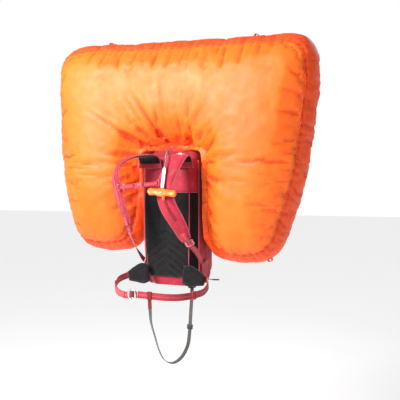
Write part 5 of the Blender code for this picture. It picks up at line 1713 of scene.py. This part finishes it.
def leg_strap():
    """The free strap, a band along its route, and its anchor under the pack."""
    item = band("leg_webbing", leg_knots(), 0.0016, GREY, 0.004, 0.0002)
    attach(item, "pack", "grey_webbing", "leg_strap")
    leg_slide()
    block = frame_at((0.0655, 0.0820, -0.2572), (1, 0, 0), UP)
    shaped("leg_anchor_patch", [rounded_rectangle(0.0200, 0.0300, 0.0025, 4)], 0.0115, block, BLACK_WEB,
           "pack", "black_webbing", ["leg_strap_anchor"], 0.0012)


belt_loop()
leg_strap()


# ------------------------------------------------------------------ side straps, tool loop, neck

def side_straps():
    """The compression straps: a band from the panel to its clasp, and the clasp's short anchor."""
    outline = [(-0.0140, -0.0090), (-0.0115, -0.0105), (0.0040, -0.0105), (0.0060, -0.0088),
               (0.0140, -0.0088)]
    outline += [(x, -y) for x, y in reversed(outline)]
    holes = [rounded_rectangle(0.0105, 0.0024, 0.0008, 2, (-0.0030, y)) for y in (-0.0073, 0.0073)]
    holes.append(rounded_rectangle(0.0026, 0.0140, 0.0008, 2, (0.0105, 0.0)))
    for side, sign in SIDES:
        x, z = sign * 0.1243, STRAP_HEIGHT
        knots = [(x - sign * 0.0012, 0.0490, z, sign, 0, 0, 0.018), (x, 0.058, z, sign, 0, 0, 0.018),
                 (x + sign * 0.0004, 0.085, z + 0.0006, sign, 0, 0, 0.018),
                 (x - sign * 0.0001, 0.101, z, sign, 0, 0, 0.018),
                 (x + sign * 0.0003, 0.110, z, sign, 0, 0, 0.017)]
        strap(f"side_band_{side}", knots, 0.0016, DARK_RED, "coral_webbing", [f"side_strap_{side}"])
        tack(f"side_tack_{side}", knots, 0.12, 0.0016, "coral_webbing")
        place = frame_at((x + sign * 0.0012, 0.1226, z), (0, 1, 0), (sign, 0, 0))
        shaped(f"side_clasp_{side}", [outline, *holes], 0.0065, place, PLASTIC, "pack", "black_plastic",
               [f"side_buckle_{side}"], 0.0013)
        tail = [(x + sign * 0.0006, 0.1330, z, sign, 0, 0, 0.0170),
                (x - sign * 0.0010, 0.1400, z - 0.001, sign, 0.1, 0, 0.0175),
                (x - sign * 0.0032, 0.1480, z - 0.002, sign, 0.2, 0, 0.0175)]
        strap(f"side_anchor_{side}", tail, 0.0014, DARK_RED, "coral_webbing", spacing=0.003)


def tool_loop():
    """The cord loop for an ice axe at the pack's lower corner, and the webbing it hangs from."""
    line = [(0.1305 + x, 0.158 + y, -0.236 + 0.0004 * math.sin(9 * x / 0.03))
            for x, y in rounded_rectangle(0.026, 0.018, 0.0075, 6)]
    line.append(line[0])
    attach(tube("tool_cord", line, 0.0020, BRAID, 12, caps=False), "pack", "black_webbing", "tool_loop")
    tab = [(0.080, 0.1480, -0.2350, 0, 0, 1, 0.0130), (0.098, 0.1520, -0.2352, 0, 0, 1, 0.0125),
           (0.1120, 0.1565, -0.2358, 0, 0, 1, 0.0115), (0.1210, 0.1580, -0.2360, 0, 0, 1, 0.0110)]
    strap("tool_loop_tab", tab, 0.0016, BLACK_WEB, "black_webbing", spacing=0.003)


def neck():
    """The fabric duct from the intake into the airbag, gathered by its clamp."""
    low, high, wall = 0.2520, 0.2616, 0.0013
    sides = 72
    outer, inner = [], []
    for z in np.linspace(low, high, 9):
        t = (z - low) / (high - low)
        line, hole = [], []
        for j in range(sides):
            angle = 2 * math.pi * j / sides
            pleat = 0.0009 * math.sin(angle * 19 + 1.5 * grain(angle, z * 60, 0)) * t
            radius = 0.0330 + pleat - 0.0004 * t
            for store, r in ((line, radius), (hole, radius - wall)):
                store.append((0.030 + r * math.cos(angle), 0.085 + r * math.sin(angle), z))
        outer.append(line)
        inner.append(hole)
    attach(double_wall("neck_cloth", outer, inner, 0.0029, SHADED_ORANGE), "pack", "orange_nylon", "airbag_neck")


side_straps()
tool_loop()
neck()

INNER_LOOKS = {
    "frame_sheet": SHEET_PLASTIC, "frame_stay": ALUMINIUM, "gas_cylinder": PAINTED_STEEL, "gas_tube": STEEL,
    "inflator_block": ALUMINIUM, "piercing_pin": STEEL, "return_spring": STEEL, "trigger_lever": STEEL,
    "lever_pin": STEEL, "lever_bracket": ALUMINIUM, "intake_housing": PLASTIC, "neck_clamp": STEEL,
    "valve_flap": RUBBER, "trigger_cable": STEEL}


def inner_parts():
    """The parts inside the pack keep their CAD shapes and get finished materials."""
    for name, material in INNER_LOOKS.items():
        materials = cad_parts[name].data.materials
        for index in range(len(materials)):
            materials[index] = material


inner_parts()


# ------------------------------------------------------------------ floor, light and world

FLOOR_HEIGHT = -1.10


def plain(name, colour, roughness):
    """A pale floor that glows a little, so that it stays nearly white."""
    look = Look(name, roughness=roughness)
    look.colour(look.mix(look.ramp(look.noise(1.5, 3.0), 0.3, 0.7), shade(colour, 0.985), colour))
    look.shader.inputs["Emission Color"].default_value = (1.0, 1.0, 1.0, 1.0)
    look.shader.inputs["Emission Strength"].default_value = 0.26
    return look.material


def stage():
    """The floor and a world that looks white and lights softly."""
    bpy.ops.mesh.primitive_plane_add(size=60.0, location=(0, 0, FLOOR_HEIGHT))
    floor = bpy.context.object
    floor.name = "studio_floor"
    floor.data.materials.append(plain("pale floor", (0.95, 0.95, 0.95), 0.9))
    world = bpy.data.worlds.new("studio")
    world.use_nodes = True
    tree = world.node_tree
    soft = tree.nodes["Background"]
    soft.inputs["Color"].default_value = (0.93, 0.95, 1.0, 1.0)
    soft.inputs["Strength"].default_value = 0.40
    backdrop = tree.nodes.new("ShaderNodeBackground")
    backdrop.inputs["Color"].default_value = (1.0, 1.0, 1.0, 1.0)
    mixed = tree.nodes.new("ShaderNodeMixShader")
    tree.links.new(tree.nodes.new("ShaderNodeLightPath").outputs["Is Camera Ray"], mixed.inputs[0])
    tree.links.new(soft.outputs[0], mixed.inputs[1])
    tree.links.new(backdrop.outputs[0], mixed.inputs[2])
    tree.links.new(mixed.outputs[0], tree.nodes["World Output"].inputs["Surface"])
    SCENE.world = world


def aim(item, direction):
    item.rotation_euler = Vector(direction).to_track_quat("-Z", "Y").to_euler()
    SCENE.collection.objects.link(item)


def sun():
    data = bpy.data.lights.new("sun", "SUN")
    data.energy, data.angle, data.color = 1.9, math.radians(30), (1.0, 0.975, 0.94)
    aim(bpy.data.objects.new("sun", data), (0.42, 0.80, -0.46))


def area(name, place, target, size, power, colour=(1.0, 1.0, 1.0)):
    data = bpy.data.lights.new(name, "AREA")
    data.energy, data.color = power, colour
    data.shape, data.size, data.size_y = "RECTANGLE", *size
    item = bpy.data.objects.new(name, data)
    item.location = place
    item.visible_camera = False
    aim(item, Vector(target) - Vector(place))


stage()
sun()
area("key", (-0.85, -1.55, 0.95), (-0.16, 0.0, 0.40), (0.7, 0.7), 62.0, (1.0, 0.97, 0.93))
area("rim", (0.9, 2.4, 1.6), (0.0, 0.0, 0.2), (2.0, 1.0), 12.0)
SCENE.view_settings.view_transform = "Standard"
SCENE.view_settings.look = "None"
